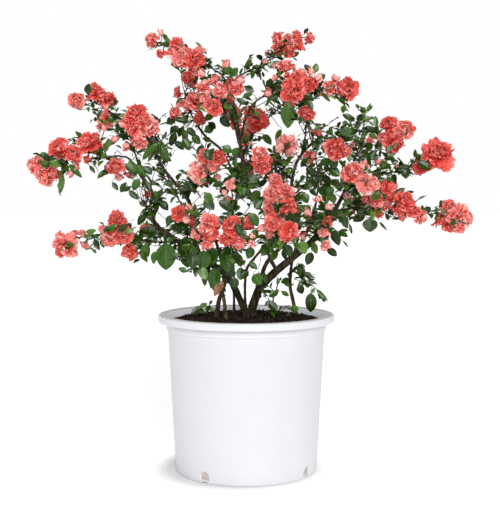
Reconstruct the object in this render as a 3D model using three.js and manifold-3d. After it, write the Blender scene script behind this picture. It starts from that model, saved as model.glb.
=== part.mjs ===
// Potted flowering quince: a many-stemmed shrub in double blossom, in a white nursery pot.
// Millimetres, +Z up, front towards -Y, origin at the middle of the pot's flat underside.
import * as THREE from 'three';
import { mergeVertices } from 'three/addons/utils/BufferGeometryUtils.js';
import Module from 'manifold-3d';

const wasm = await Module();
wasm.setup();

// Driving sizes of the pot
const RIM_DIAMETER = 280;
const POT_HEIGHT = 250;
const BASE_DIAMETER = 226;
const LIP_WIDTH = 15;
const RIM_BAND = 11.5;
const COLLAR_HEIGHT = 12;
const WALL = 2.5;
const EDGE = 3;
const POT_SEGMENTS = 32;
const DRAIN = { count: 4, turn: -34, width: 15, height: 14, sill: 4, depth: 16 };

// Soil, and the small clearance left between pieces that touch
const SOIL_TOP = 245;
const SOIL_EDGE = 238;
const SOIL_PLATEAU = 92;
const SOIL_RADIUS = RIM_DIAMETER / 2 - LIP_WIDTH - 2.3;
const GAP = 0.3;
const FINEST_EDGE = 0.02;

// Places on the plant are written as [column, row, depth]: where the point shows in a picture of
// 500 x 517 pixels, and its depth in mm behind the pot's axis. The camera of that picture:
const PICTURE = { middleColumn: 250, middleRow: 258.5, focalPixels: 1007 };
const CAMERA = { back: 1603, up: 430.5, side: 6, pitch: THREE.MathUtils.degToRad(3.31) };
const PIXEL = CAMERA.back / PICTURE.focalPixels;
const BACK_DEPTH = 100;

// Limbs, stems, twigs, leaves and blossom: thicknesses and lengths in mm, leaning in degrees
const LIMB = { steps: 2, sides: 5, stout: 10, stoutSides: 7, flare: 0.45, flareRings: 2 };
const STEM = { steps: 1, sides: 4, foot: 6.2, tip: 4.4 };
const TWIG = {
  first: 0.22, last: 0.98, tries: 8, retryTurn: 0.9, shortest: 12, longest: 24, thick: 2.6,
  leastLean: 50, mostLean: 66, lift: 0.3,
};
const LEAF = {
  sides: 4, shortest: 34, longest: 48, width: 0.5, thickness: 0.09, widest: 0.45,
  leastSplay: 0.9, mostSplay: 1.4, tilt: 0.25, apart: 15, clear: 10,
};
const BLADE_FACING = new THREE.Vector3(0.2, -1, 0.3);
const SPUR = { thick: 2.8, first: 0.3, spots: 15 };
const HEAD = { sides: 5, large: 16, largeSides: 6, belt: 0.4, girth: 0.93 };
const GOLDEN_TURN = THREE.MathUtils.degToRad(137.5);

// Limbs: path from foot to tip, thickness in mm at both ends, and the limb that carries it
const LIMBS = {
  stool: {
    thick: [22, 18],
    path: [[249, 315, 2], [248.7, 312, 2], [248.3, 309, 2]],
  },
  left_trunk: {
    on: 'stool',
    thick: [10.5, 8.5],
    path: [[245.5, 311, 4], [239, 297, 6], [233, 285, 6], [224, 273, 4], [208, 262, 0], [190, 249, -6],
      [172, 237, -10]],
  },
  right_trunk: {
    on: 'stool',
    thick: [14, 9.5],
    path: [[251.5, 311, 0], [256, 297, -2], [261, 287, -3], [273, 274, -6], [293, 257, -12],
      [308, 245, -16], [322, 231, -20]],
  },
  middle_stem: {
    thick: [4.4, 3.8],
    path: [[246, 312, 34], [245, 290, 34], [247, 269, 34], [256, 256, 36], [267, 243, 40], [270, 226, 42],
      [259, 206, 44], [249, 190, 45], [243, 168, 46], [239, 132, 44]],
  },
  left_stem: {
    thick: [7.5, 4.5],
    path: [[216, 316, -8], [219, 300, -9], [224, 283, -16], [221, 260, -44], [215, 238, -74]],
  },
  pale_stem: {
    thick: [6, 4],
    path: [[226, 318, -34], [224, 299, -36], [220, 283, -44], [213, 268, -62]],
  },
  right_stem: {
    thick: [6.6, 4],
    path: [[296, 313, 42], [293, 300, 42], [290, 284, 44], [292, 262, 56], [298, 240, 84]],
  },
  back_stem: {
    thick: [4.6, 4],
    path: [[234, 312, 56], [234, 285, 78], [233, 258, 112], [232, 236, 146]],
  },
  left_fork: {
    on: 'left_trunk',
    thick: [8, 4.6],
    path: [[172, 237, -10], [160, 229, -13], [153, 219, -16], [156, 206, -18], [150, 188, -22],
      [141, 176, -25], [134, 164, -28]],
  },
  inner_left_bough: {
    on: 'left_trunk',
    thick: [8, 4.4],
    path: [[200, 256, -3], [194, 236, 16], [191, 208, 28], [184, 194, 31], [171, 178, 34], [162, 167, 36]],
  },
  back_left_bough: {
    on: 'left_trunk',
    thick: [7.5, 4.4],
    path: [[216, 267, 1], [206, 246, 50], [192, 224, 100], [182, 206, 140]],
  },
  right_inner_bough: {
    on: 'right_trunk',
    thick: [7.5, 5.6],
    path: [[261, 287, -3], [263, 272, 12], [268, 261, 18], [278, 250, 24], [287, 240, 30], [291, 216, 40]],
  },
  right_bough: {
    on: 'right_trunk',
    thick: [8, 4.8],
    path: [[322, 231, -20], [334, 212, -17], [344, 193, -12], [353, 178, -8]],
  },
  back_right_bough: {
    on: 'right_trunk',
    thick: [7.5, 4.4],
    path: [[288, 261, -10], [300, 246, 40], [310, 224, 96], [316, 203, 140]],
  },
  front_bough: {
    on: 'right_trunk',
    thick: [6.5, 4.4],
    path: [[277, 271, -7], [272, 262, -36], [268, 252, -78], [268, 242, -112]],
  },
  upper_left_bough: {
    on: 'middle_stem',
    thick: [4.2, 3.6],
    path: [[259, 206, 44], [248, 196, 36], [237, 180, 30], [222, 151, 20], [206, 137, 10], [196, 123, 4]],
  },
  top_bough: {
    on: 'middle_stem',
    thick: [3.8, 3.2],
    path: [[239, 132, 44], [235, 108, 26], [229, 86, 8]],
  },
  right_upper_bough: {
    on: 'right_inner_bough',
    thick: [6, 4.2],
    path: [[291, 216, 40], [291, 190, 46], [296, 164, 46], [307, 148, 42], [318, 140, 38]],
  },
};

// Masses: each stem leaves the limb `on` at the share `from` of its length and follows `path`.
// heads are blossoms and buds as [column, row, depth, width in pixels]; blades are single large
// leaves as [column, row, depth] of the root, then of the tip; tufts counts its leafy twigs.
const MASSES = {
  far_left_spray: {
    on: 'left_fork', from: 1, tufts: 4, reach: 50,
    path: [[126, 157, -32], [104, 156, -40], [84, 152, -44], [60, 158, -46], [42, 165, -44]],
    heads: [[36, 162, -36, 14], [44, 174, -48, 26], [58, 147, -56, 18], [74, 153, -64, 16],
      [89, 142, -58, 22], [115, 167, -60, 16]],
  },
  upper_left_spray: {
    on: 'left_fork', from: 0.85, tufts: 3, reach: 48,
    path: [[133, 146, 6], [124, 124, 40], [111, 112, 56], [98, 104, 64], [84, 99, 66]],
    heads: [[75, 99, 66, 18], [95, 95, 50, 22], [108, 98, 62, 18], [103, 120, 46, 20]],
  },
  upper_left_flowers: {
    on: 'inner_left_bough', from: 1, tufts: 4, reach: 50,
    path: [[156, 155, 14], [149, 140, -22], [141, 126, -48]],
    heads: [[136, 115, -58, 22], [148, 127, -60, 22]],
  },
  lower_left_spray: {
    on: 'left_trunk', from: 0.92, tufts: 4, reach: 50,
    path: [[158, 242, -36], [140, 239, -60], [120, 230, -76], [100, 234, -84], [83, 236, -86],
      [66, 242, -84]],
    heads: [[63, 246, -84, 24], [117, 220, -90, 18], [108, 238, -100, 16], [124, 236, -96, 18],
      [128, 251, -74, 16]],
  },
  left_leaves: {
    on: 'left_fork', from: 0.46, tufts: 6, reach: 50,
    path: [[150, 208, -56], [146, 206, -96]],
    heads: [],
  },
  left_heart: {
    on: 'left_trunk', from: 0.74, tufts: 4, reach: 50,
    path: [[188, 237, -50], [184, 222, -100]],
    heads: [[183, 213, -112, 16]],
  },
  hanging_leaves: {
    on: 'left_trunk', from: 0.85, tufts: 2, reach: 46,
    path: [[172, 247, -36], [166, 249, -52]],
    heads: [],
    blades: [[166, 244, -52, 164, 271, -58], [170, 248, -50, 186, 262, -60]],
  },
  front_left_flowers: {
    on: 'left_stem', from: 1, tufts: 4, reach: 50,
    path: [[210, 232, -110], [207, 224, -150]],
    heads: [[208, 229, -166, 24]],
  },
  front_middle_flowers: {
    on: 'left_stem', from: 0.8, tufts: 4, reach: 50,
    path: [[230, 244, -96], [234, 232, -150]],
    heads: [[231, 227, -168, 18]],
  },
  left_low_leaves: {
    on: 'pale_stem', from: 1, tufts: 4, reach: 50,
    path: [[206, 262, -92], [192, 258, -112]],
    heads: [],
    blades: [[212, 270, -70, 219, 293, -78]],
  },
  centre_left_flowers: {
    on: 'inner_left_bough', from: 0.6, tufts: 4, reach: 50,
    path: [[194, 184, -10], [203, 170, -66], [210, 160, -106]],
    heads: [[198, 171, -90, 22], [205, 153, -112, 16], [219, 158, -118, 16]],
  },
  centre_flowers: {
    on: 'upper_left_bough', from: 0.3, tufts: 6, reach: 54,
    path: [[238, 186, -30], [236, 184, -90], [232, 182, -140]],
    heads: [[230, 184, -158, 10]],
  },
  top_left_spray: {
    on: 'top_bough', from: 1, tufts: 4, reach: 46,
    path: [[222, 75, -14], [212, 68, -28], [200, 60, -38], [180, 52, -48], [160, 44, -52]],
    heads: [[150, 40, -54, 15], [192, 58, -60, 24]],
  },
  top_left_flowers: {
    on: 'upper_left_bough', from: 1, tufts: 4, reach: 50,
    path: [[190, 112, 30], [185, 98, 58], [188, 84, 76]],
    heads: [[190, 79, 76, 16], [174, 113, 20, 14], [199, 98, 44, 22]],
  },
  top_middle_flowers: {
    on: 'top_bough', from: 0.45, tufts: 3, reach: 48,
    path: [[228, 104, -24], [222, 96, -76], [220, 92, -100]],
    heads: [[221, 90, -116, 14], [235, 86, -84, 17], [206, 82, -96, 14]],
  },
  top_right_spray: {
    on: 'top_bough', from: 0.85, tufts: 3, reach: 46,
    path: [[240, 76, 26], [255, 68, 38], [270, 60, 44], [282, 54, 46], [286, 38, 46]],
    heads: [[277, 41, 40, 16], [289, 50, 34, 14]],
  },
  upper_right_flowers: {
    on: 'middle_stem', from: 0.96, tufts: 3, reach: 50,
    path: [[250, 108, -10], [266, 95, -52], [284, 85, -84], [294, 83, -100]],
    heads: [[285, 67, -84, 14], [297, 91, -116, 24], [311, 84, -98, 14]],
  },
  crown_centre: {
    on: 'middle_stem', from: 0.86, tufts: 3, reach: 50,
    path: [[256, 130, 78], [270, 116, 76], [284, 104, 64]],
    heads: [[255, 120, 66, 26]],
    blades: [[286, 100, 50, 289, 128, 40]],
  },
  upper_right_spray: {
    on: 'right_upper_bough', from: 0.93, tufts: 4, reach: 50,
    path: [[312, 130, 46], [301, 115, 54], [299, 100, 62], [310, 87, 68], [328, 84, 74], [344, 87, 78]],
    heads: [[348, 88, 70, 22]],
  },
  right_upper_flowers: {
    on: 'right_upper_bough', from: 0.74, tufts: 4, reach: 50,
    path: [[306, 132, -6], [306, 120, -50]],
    heads: [[306, 110, -66, 16]],
  },
  right_middle_flowers: {
    on: 'right_upper_bough', from: 1, tufts: 4, reach: 50,
    path: [[330, 142, 0], [342, 146, -40], [346, 144, -64]],
    heads: [[331, 149, -36, 20]],
  },
  leafy_shoot: {
    on: 'right_bough', from: 0.55, tufts: 4, reach: 46,
    path: [[354, 162, 56], [362, 134, 90], [366, 110, 100]],
    heads: [],
  },
  right_crown_spray: {
    on: 'right_bough', from: 0.76, tufts: 4, reach: 50,
    path: [[366, 162, 20], [380, 148, 36], [396, 132, 46]],
    heads: [[394, 124, 44, 18], [406, 131, 44, 18], [393, 144, 32, 22]],
  },
  far_right_spray: {
    on: 'right_bough', from: 1, tufts: 4, reach: 50,
    path: [[366, 176, -16], [384, 173, -24], [404, 171, -30], [422, 166, -32], [436, 157, -32]],
    heads: [[440, 155, -42, 34]],
  },
  right_front_flowers: {
    on: 'right_bough', from: 0.58, tufts: 3, reach: 52,
    path: [[358, 188, -76], [370, 192, -134]],
    heads: [[352, 172, -110, 20], [370, 184, -154, 20], [388, 186, -138, 14]],
  },
  lower_right_spray: {
    on: 'right_bough', from: 0.35, tufts: 4, reach: 50,
    path: [[354, 208, -40], [374, 209, -58], [396, 208, -72], [416, 209, -82], [436, 212, -86],
      [452, 212, -86]],
    heads: [[453, 204, -86, 16], [460, 218, -88, 24], [440, 222, -92, 14], [406, 202, -88, 22]],
  },
  right_heart: {
    on: 'right_trunk', from: 0.95, tufts: 5, reach: 54,
    path: [[326, 228, -76], [331, 214, -126]],
    heads: [],
  },
  centre_right_flowers: {
    on: 'right_inner_bough', from: 0.93, tufts: 4, reach: 50,
    path: [[284, 208, -10], [280, 198, -64], [278, 194, -96]],
    heads: [[275, 180, -100, 14], [288, 191, -104, 14], [275, 205, -112, 22]],
  },
  low_centre_flowers: {
    on: 'front_bough', from: 1, tufts: 4, reach: 52,
    path: [[270, 234, -146], [280, 228, -180]],
    heads: [[275, 225, -196, 18], [290, 232, -184, 20]],
  },
  upper_centre_flowers: {
    on: 'right_upper_bough', from: 0.42, tufts: 3, reach: 52,
    path: [[280, 168, -20], [268, 162, -76], [262, 158, -104]],
    heads: [[261, 153, -116, 16], [261, 168, -110, 16], [288, 144, -50, 20]],
  },
  right_inner_spray: {
    on: 'right_upper_bough', from: 0.22, tufts: 5, reach: 46,
    path: [[301, 188, 26], [312, 178, -2], [324, 172, -30]],
    heads: [],
  },
  right_low_leaves: {
    on: 'right_stem', from: 0.55, tufts: 1, reach: 50,
    path: [[299, 274, 20], [308, 276, -6]],
    heads: [],
    blades: [[303, 280, 4, 311, 308, -6], [306, 276, -2, 326, 294, -6], [300, 275, 12, 298, 298, 6]],
  },
  low_shoot: {
    tufts: 3, reach: 44,
    path: [[269, 317, -26], [272, 303, -28], [276, 290, -28], [281, 277, -28]],
    heads: [],
  },
  back_crown: {
    on: 'middle_stem', from: 0.72, tufts: 4, reach: 54,
    path: [[246, 168, 92], [238, 140, 136], [232, 118, 160]],
    heads: [[232, 112, 170, 20]],
  },
  back_left_crown: {
    on: 'back_left_bough', from: 1, tufts: 3, reach: 54,
    path: [[172, 186, 166], [160, 160, 184], [150, 140, 184]],
    heads: [[148, 136, 192, 20]],
  },
  back_left_spray: {
    on: 'back_left_bough', from: 0.8, tufts: 3, reach: 54,
    path: [[168, 230, 140], [148, 236, 162], [128, 238, 160]],
    heads: [[120, 236, 164, 20]],
  },
  back_middle_spray: {
    on: 'back_stem', from: 1, tufts: 3, reach: 56,
    path: [[232, 214, 186], [238, 190, 222], [246, 176, 244]],
    heads: [[246, 168, 256, 20]],
  },
  back_right_crown: {
    on: 'back_right_bough', from: 1, tufts: 3, reach: 54,
    path: [[318, 174, 172], [312, 144, 188], [304, 112, 186]],
    heads: [[299, 94, 190, 20]],
  },
  back_right_spray: {
    on: 'back_right_bough', from: 0.8, tufts: 4, reach: 54,
    path: [[338, 214, 140], [362, 204, 156], [384, 190, 150]],
    heads: [[390, 186, 154, 20]],
  },
  back_low_spray: {
    on: 'right_stem', from: 1, tufts: 4, reach: 54,
    path: [[296, 226, 126], [290, 212, 178], [288, 204, 212]],
    heads: [[286, 202, 226, 18]],
  },
};

// Open sky between the sprays, as [column, row, radius] of round gaps in the picture: no leaf there
const SKY = [
  [115, 55, 30], [152, 75, 16], [172, 78, 9], [128, 92, 8], [157, 100, 7], [160, 18, 12],
  [190, 20, 16], [213, 45, 9], [235, 38, 22], [260, 45, 6], [262, 20, 9], [300, 15, 12],
  [338, 55, 25], [385, 78, 24], [380, 108, 8], [440, 115, 22], [458, 135, 8], [478, 178, 18],
  [60, 120, 14], [20, 130, 22], [40, 148, 6], [68, 130, 6], [85, 198, 17], [40, 200, 18],
  [118, 202, 10], [127, 207, 9], [30, 215, 18], [60, 224, 8], [75, 217, 9], [92, 220, 7],
  [80, 278, 25], [112, 268, 18], [150, 290, 28], [170, 293, 20], [151, 251, 5], [161, 222, 5],
  [166, 212, 5], [182, 157, 9], [172, 172, 6], [207, 193, 7], [214, 133, 6], [230, 140, 9],
  [232, 85, 5], [254, 85, 8], [262, 102, 6], [274, 124, 8], [299, 127, 7], [318, 115, 8],
  [330, 110, 11], [232, 195, 5], [243, 203, 4], [238, 214, 4], [340, 203, 4], [409, 150, 5],
  [425, 183, 12], [433, 199, 6], [430, 237, 10], [405, 250, 28], [362, 248, 18], [362, 272, 20],
  [335, 275, 18], [243, 256, 4], [263, 256, 7], [253, 266, 5], [266, 265, 4], [278, 263, 4],
  [250, 292, 7], [272, 291, 6], [286, 290, 5], [281, 300, 5], [468, 152, 9], [183, 90, 6],
  [228, 128, 9], [312, 136, 5], [170, 166, 6], [324, 108, 6],
];

// Colours and roughness
const LOOKS = {
  pot: { color: 0xf2f3f6, roughness: 0.42 },
  soil: { color: 0x2c2017, roughness: 0.95 },
  bark: { color: 0x5d4c3c, roughness: 0.85 },
  mass: { color: 0x4a6b2e, roughness: 0.7 },
};

// The point that shows at a column and row of the picture, at a depth behind the pot's axis.
function place([column, row, depth]) {
  const across = (column - PICTURE.middleColumn) / PICTURE.focalPixels;
  const down = (row - PICTURE.middleRow) / PICTURE.focalPixels;
  const ahead = Math.cos(CAMERA.pitch) - down * Math.sin(CAMERA.pitch);
  const sink = down * Math.cos(CAMERA.pitch) + Math.sin(CAMERA.pitch);
  const far = (CAMERA.back + depth) / ahead;
  return new THREE.Vector3(CAMERA.side + far * across, depth, CAMERA.up - far * sink);
}

// Whether a point shows in the open sky.
function inSky(point) {
  const way = point.clone().sub(new THREE.Vector3(CAMERA.side, -CAMERA.back, CAMERA.up));
  const [sine, cosine] = [Math.sin(CAMERA.pitch), Math.cos(CAMERA.pitch)];
  const scale = PICTURE.focalPixels / (way.y * cosine - way.z * sine);
  const column = PICTURE.middleColumn + way.x * scale;
  const row = PICTURE.middleRow - (way.y * sine + way.z * cosine) * scale;
  return SKY.some(([x, y, radius]) => Math.hypot(column - x, row - y) < radius);
}

// Seeded random numbers from 0 to 1.
function makeRandom(seed) {
  let state = seed >>> 0;
  return () => {
    state = (state + 0x6d2b79f5) >>> 0;
    let mixed = Math.imul(state ^ (state >>> 15), state | 1);
    mixed = (mixed + Math.imul(mixed ^ (mixed >>> 7), mixed | 61)) ^ mixed;
    return ((mixed ^ (mixed >>> 14)) >>> 0) / 2 ** 32;
  };
}

function between(random, low, high) {
  return low + (high - low) * random();
}

// A smooth line through the points, in the given number of steps from each to the next.
function smooth(points, steps) {
  const line = [];
  for (let i = 0; i < points.length - 1; i += 1) {
    const [before, start, end, after] = [i - 1, i, i + 1, i + 2]
      .map((at) => points[Math.min(Math.max(at, 0), points.length - 1)]);
    for (let step = 0; step < steps; step += 1) {
      const t = step / steps;
      const spot = start.clone().multiplyScalar(2 - 5 * t ** 2 + 3 * t ** 3);
      spot.addScaledVector(before, -t + 2 * t ** 2 - t ** 3);
      spot.addScaledVector(end, t + 4 * t ** 2 - 3 * t ** 3);
      spot.addScaledVector(after, -(t ** 2) + t ** 3);
      line.push(spot.multiplyScalar(0.5));
    }
  }
  line.push(points.at(-1).clone());
  return line;
}

// The point at a share of a line's length, with the line's direction there.
function along(line, share) {
  const lengths = line.slice(1).map((point, i) => point.distanceTo(line[i]));
  let left = share * lengths.reduce((sum, length) => sum + length, 0);
  let i = 0;
  while (i < lengths.length - 1 && left > lengths[i]) {
    left -= lengths[i];
    i += 1;
  }
  const heading = line[i + 1].clone().sub(line[i]).normalize();
  return { point: line[i].clone().addScaledVector(heading, left), heading };
}

function distanceToLine(point, line) {
  let best = Infinity;
  for (let i = 0; i < line.length - 1; i += 1) {
    const way = line[i + 1].clone().sub(line[i]);
    const share = point.clone().sub(line[i]).dot(way) / way.lengthSq();
    const nearest = line[i].clone().addScaledVector(way, THREE.MathUtils.clamp(share, 0, 1));
    best = Math.min(best, point.distanceTo(nearest));
  }
  return best;
}

// A level direction square to the heading, or +X's for a steep heading.
function sideways(heading) {
  const other = Math.abs(heading.z) > 0.9 ? new THREE.Vector3(1, 0, 0) : new THREE.Vector3(0, 0, 1);
  return other.cross(heading).normalize();
}

// A ring of corners round a middle, counterclockwise about across x up.
function ringOf(middle, across, up, sides, half, thick) {
  if (half === 0) return [middle];
  return Array.from({ length: sides }, (_, side) => {
    const turn = (side / sides) * 2 * Math.PI;
    const corner = middle.clone().addScaledVector(across, half * Math.cos(turn));
    return corner.addScaledVector(up, thick * Math.sin(turn));
  });
}

function toManifold(positions, faces) {
  const vertProperties = new Float32Array(positions);
  return new wasm.Manifold(new wasm.Mesh({ numProp: 3, vertProperties, triVerts: new Uint32Array(faces) }));
}

// A closed solid over rings of corners one after another; a ring may be a single point.
function ringsSolid(rings) {
  const sides = Math.max(...rings.map((ring) => ring.length));
  const firsts = rings.map((_, i) => rings.slice(0, i).flat().length);
  const corner = (ring, side) => firsts[ring] + (side % rings[ring].length);
  const faces = [];
  for (let ring = 0; ring < rings.length - 1; ring += 1) {
    for (let side = 0; side < sides; side += 1) {
      const [a, b] = [corner(ring, side), corner(ring, side + 1)];
      const [d, c] = [corner(ring + 1, side), corner(ring + 1, side + 1)];
      if (a !== b) faces.push([a, b, c]);
      if (c !== d) faces.push([a, c, d]);
    }
  }
  const last = rings.length - 1;
  for (let side = 1; side < rings[0].length - 1; side += 1) faces.push([0, side + 1, side]);
  for (let side = 1; side < rings[last].length - 1; side += 1) {
    faces.push([corner(last, 0), corner(last, side), corner(last, side + 1)]);
  }
  return toManifold(rings.flat().flatMap((spot) => spot.toArray()), faces.flat());
}

// A tapering rod along a line; one that stands on the soil has its first ring level.
function rod(line, radii, sides, onSoil = false) {
  let across = null;
  return ringsSolid(line.map((point, i) => {
    const [before, after] = [line[Math.max(i - 1, 0)], line[Math.min(i + 1, line.length - 1)]];
    const heading = after.clone().sub(before).normalize();
    if (i === 0 && onSoil) heading.set(0, 0, 1);
    across = across ? across.clone().addScaledVector(heading, -across.dot(heading)) : sideways(heading);
    across.normalize();
    return ringOf(point, across, heading.clone().cross(across), sides, radii[i], radii[i]);
  }));
}

// Rings about a straight line from the root: each is [distance, half width, half thickness].
function spindleRings(root, heading, facing, rings, sides) {
  const across = heading.clone().cross(facing).normalize();
  const up = heading.clone().cross(across);
  return rings.map(([distance, half, thick]) => (
    ringOf(root.clone().addScaledVector(heading, distance), across, up, sides, half, thick)
  ));
}

function largestPiece(solid) {
  return solid.decompose().reduce((best, piece) => (piece.volume() > best.volume() ? piece : best));
}

// Limbs
function limbLine(name) {
  const { on, path } = LIMBS[name];
  const points = path.map(place);
  if (!on) points[0].z = soilHeight(points[0]) + GAP;
  return smooth(points, LIMB.steps);
}

function limbRadii(name, line, extra) {
  const { on, thick } = LIMBS[name];
  return line.map((_, i) => {
    const share = i / (line.length - 1);
    const flare = on ? 0 : LIMB.flare * Math.max(0, 1 - i / LIMB.flareRings) ** 2;
    return (THREE.MathUtils.lerp(thick[0], thick[1], share) * (1 + flare)) / 2 + extra;
  });
}

function limbRod(name, line, extra) {
  const sides = LIMBS[name].thick[0] > LIMB.stout ? LIMB.stoutSides : LIMB.sides;
  return rod(line, limbRadii(name, line, extra), sides, !LIMBS[name].on);
}

function limbSolid(name, lines) {
  const solid = limbRod(name, lines[name], 0);
  const carrier = LIMBS[name].on;
  return carrier ? largestPiece(solid.subtract(grownLimb(carrier, lines))) : solid;
}

// A limb grown by the gap on all sides, which cuts back what it carries.
function grownLimb(name, lines) {
  const tip = along(lines[name], 1);
  return limbRod(name, [...lines[name].slice(0, -1), tip.point.addScaledVector(tip.heading, GAP)], GAP);
}

// Masses: first the skeleton of each, its stem and the spurs of its heads and blades
function massSkeleton(name, limbLines) {
  const { on, from, path, heads, blades = [] } = MASSES[name];
  const points = path.map(place);
  if (on) points.unshift(along(limbLines[on], from).point);
  else points[0].z = soilHeight(points[0]) + GAP;
  const stem = smooth(points, STEM.steps);
  const headPieces = heads.map(([column, row, depth, width]) => {
    const radius = (width * PIXEL) / 2;
    const at = besideStem(place([column, row, depth]), radius, stem);
    return { at, radius, foot: spurFoot(at, stem) };
  });
  const bladePieces = blades.map((blade) => {
    const [at, tip] = [place(blade.slice(0, 3)), place(blade.slice(3))];
    return { at, tip, foot: spurFoot(at, stem) };
  });
  const spurs = [...headPieces, ...bladePieces].map(({ foot, at }) => [foot, at]);
  return { lines: [stem, ...spurs], stem, heads: headPieces, blades: bladePieces };
}

// A head stands clear of its stem: it moves outwards, to the front or to the back, until it does.
function besideStem(spot, radius, stem) {
  const outwards = spot.y > BACK_DEPTH ? 1 : -1;
  while (distanceToLine(spot, stem) < radius + STEM.foot / 2) spot.y += outwards;
  return spot;
}

// Where a spur leaves the stem: the nearest of some spots along it.
function spurFoot(point, stem) {
  const spots = Array.from({ length: SPUR.spots }, (_, i) => (
    along(stem, THREE.MathUtils.lerp(SPUR.first, 1, i / (SPUR.spots - 1))).point
  ));
  return spots.reduce((best, spot) => (spot.distanceTo(point) < best.distanceTo(point) ? spot : best));
}

// Whether a point keeps to its mass's own space: within reach, nearer to its own stem and spurs
// than to any other mass's, and clear of heads, limbs, soil and rim.
function makeSpace(name, skeletons, limbs) {
  const others = Object.keys(skeletons).filter((other) => other !== name).map((other) => skeletons[other]);
  const otherLines = others.flatMap(({ lines }) => lines);
  const otherHeads = others.flatMap(({ heads }) => heads);
  return (point) => {
    const near = Math.min(...skeletons[name].lines.map((line) => distanceToLine(point, line)));
    if (near > MASSES[name].reach) return false;
    if (otherLines.some((line) => distanceToLine(point, line) < near + 2 * GAP)) return false;
    if (insideHead(point, otherHeads)) return false;
    if (limbs.some(({ line, radius }) => distanceToLine(point, line) < radius + 2 * GAP)) return false;
    const overWall = Math.hypot(point.x, point.y) > SOIL_RADIUS - 2;
    return point.z > (overWall ? POT_HEIGHT : SOIL_TOP) + 2 * GAP;
  };
}

function insideHead(point, heads) {
  return heads.some(({ at, radius }) => at.distanceTo(point) < radius + 1);
}

// Leafy twigs turned about the stem one after another, each tried until it finds room.
function growTufts(name, seed, skeleton, isFree) {
  const { tufts } = MASSES[name];
  const grown = [];
  for (let i = 0; i < tufts; i += 1) {
    const share = THREE.MathUtils.lerp(TWIG.first, TWIG.last, (i + 0.5) / tufts);
    const { point, heading } = along(skeleton.stem, share);
    const random = makeRandom(seed * 1000 + i);
    for (let attempt = 0; attempt < TWIG.tries; attempt += 1) {
      const turn = i * GOLDEN_TURN + attempt * TWIG.retryTurn;
      const [twig, ...leaves] = makeTuft(point, heading, turn, random);
      if (hasRoom(twig, grown, skeleton, isFree)) {
        grown.push(twig);
        leaves.filter((leaf) => hasRoom(leaf, grown, skeleton, isFree)).forEach((leaf) => grown.push(leaf));
        break;
      }
    }
  }
  return grown.map(ringsSolid);
}

// Whether a leaf keeps to its space, out of the sky and its mass's heads, and apart from its stem
// and leaves.
function hasRoom(rings, grown, { lines, heads }, isFree) {
  const [middle, tip] = leafSpots(rings);
  const spots = [...rings.slice(1).flat(), middle.clone().lerp(tip, 0.5)];
  if (!spots.every((spot) => isFree(spot) && !insideHead(spot, heads))) return false;
  if (inSky(middle) || inSky(tip)) return false;
  if (lines.some((line) => distanceToLine(middle, line) < LEAF.clear)) return false;
  return grown.flatMap(leafSpots).every((spot) => (
    spot.distanceTo(middle) > LEAF.apart && spot.distanceTo(tip) > LEAF.apart
  ));
}

// The middle and the tip of the leaf that ends a run of rings.
function leafSpots(rings) {
  const [left, , right] = rings.at(-2);
  return [left.clone().lerp(right, 0.5), rings.at(-1)[0]];
}

// One leafy twig that leans off the stem and ends in a leaf, with a leaf on each side of it.
function makeTuft(point, heading, turn, random) {
  const across = sideways(heading);
  const up = heading.clone().cross(across);
  const out = across.multiplyScalar(Math.cos(turn)).addScaledVector(up, Math.sin(turn));
  const lean = THREE.MathUtils.degToRad(between(random, TWIG.leastLean, TWIG.mostLean));
  const way = heading.clone().multiplyScalar(Math.cos(lean)).addScaledVector(out, Math.sin(lean));
  way.z += TWIG.lift;
  way.normalize();
  const length = between(random, TWIG.shortest, TWIG.longest);
  const half = TWIG.thick / 2;
  const leaf = leafRings(between(random, LEAF.shortest, LEAF.longest));
  const blade = leaf.slice(1).map(([far, ...size]) => [length + far, ...size]);
  const rings = [[0, half, half], [length, half, half], ...blade];
  const twig = spindleRings(point, way, leafFacing(random), rings, LEAF.sides);
  const foot = point.clone().addScaledVector(way, length * between(random, 0.4, 0.8));
  return [twig, sideLeaf(foot, way, 1, random), sideLeaf(foot, way, -1, random)];
}

function sideLeaf(foot, way, side, random) {
  const splay = side * between(random, LEAF.leastSplay, LEAF.mostSplay);
  const heading = way.clone().addScaledVector(sideways(way), splay);
  heading.z += between(random, -LEAF.tilt, LEAF.tilt);
  const rings = leafRings(between(random, LEAF.shortest, LEAF.longest));
  return spindleRings(foot, heading.normalize(), leafFacing(random), rings, LEAF.sides);
}

// Which way a leaf's blade faces: mostly up, and a little to the front.
function leafFacing(random) {
  const [across, back] = [between(random, -0.5, 0.5), between(random, -0.8, 0.2)];
  return new THREE.Vector3(across, back, between(random, 0.8, 1.8));
}

function leafRings(length) {
  const broadest = [LEAF.widest * length, (LEAF.width * length) / 2, (LEAF.thickness * length) / 2];
  return [[0, 0, 0], broadest, [length, 0, 0]];
}

// A blossom as a faceted ball on a short spur.
function headSolid({ at, foot, radius }) {
  const way = at.clone().sub(foot);
  const far = way.length();
  const spur = SPUR.thick / 2;
  const girth = HEAD.girth * radius;
  const belts = [-HEAD.belt, HEAD.belt].map((up) => [far + up * radius, girth, girth]);
  const rings = [[0, spur, spur], [far - radius, spur, spur], ...belts, [far + radius, 0, 0]];
  const sides = radius > HEAD.large ? HEAD.largeSides : HEAD.sides;
  return ringsSolid(spindleRings(foot, way.normalize(), sideways(way), rings, sides));
}

// A single large leaf on a stalk of its own.
function bladeSolid({ at, foot, tip }) {
  const heading = tip.clone().sub(at);
  const stalkEnd = at.clone().addScaledVector(heading, LEAF.widest / 4);
  const stalk = rod([foot, stalkEnd], [SPUR.thick / 2, SPUR.thick / 3], 3);
  const leaf = leafRings(heading.length());
  return stalk.add(ringsSolid(spindleRings(at, heading.normalize(), BLADE_FACING, leaf, LEAF.sides)));
}

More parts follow.
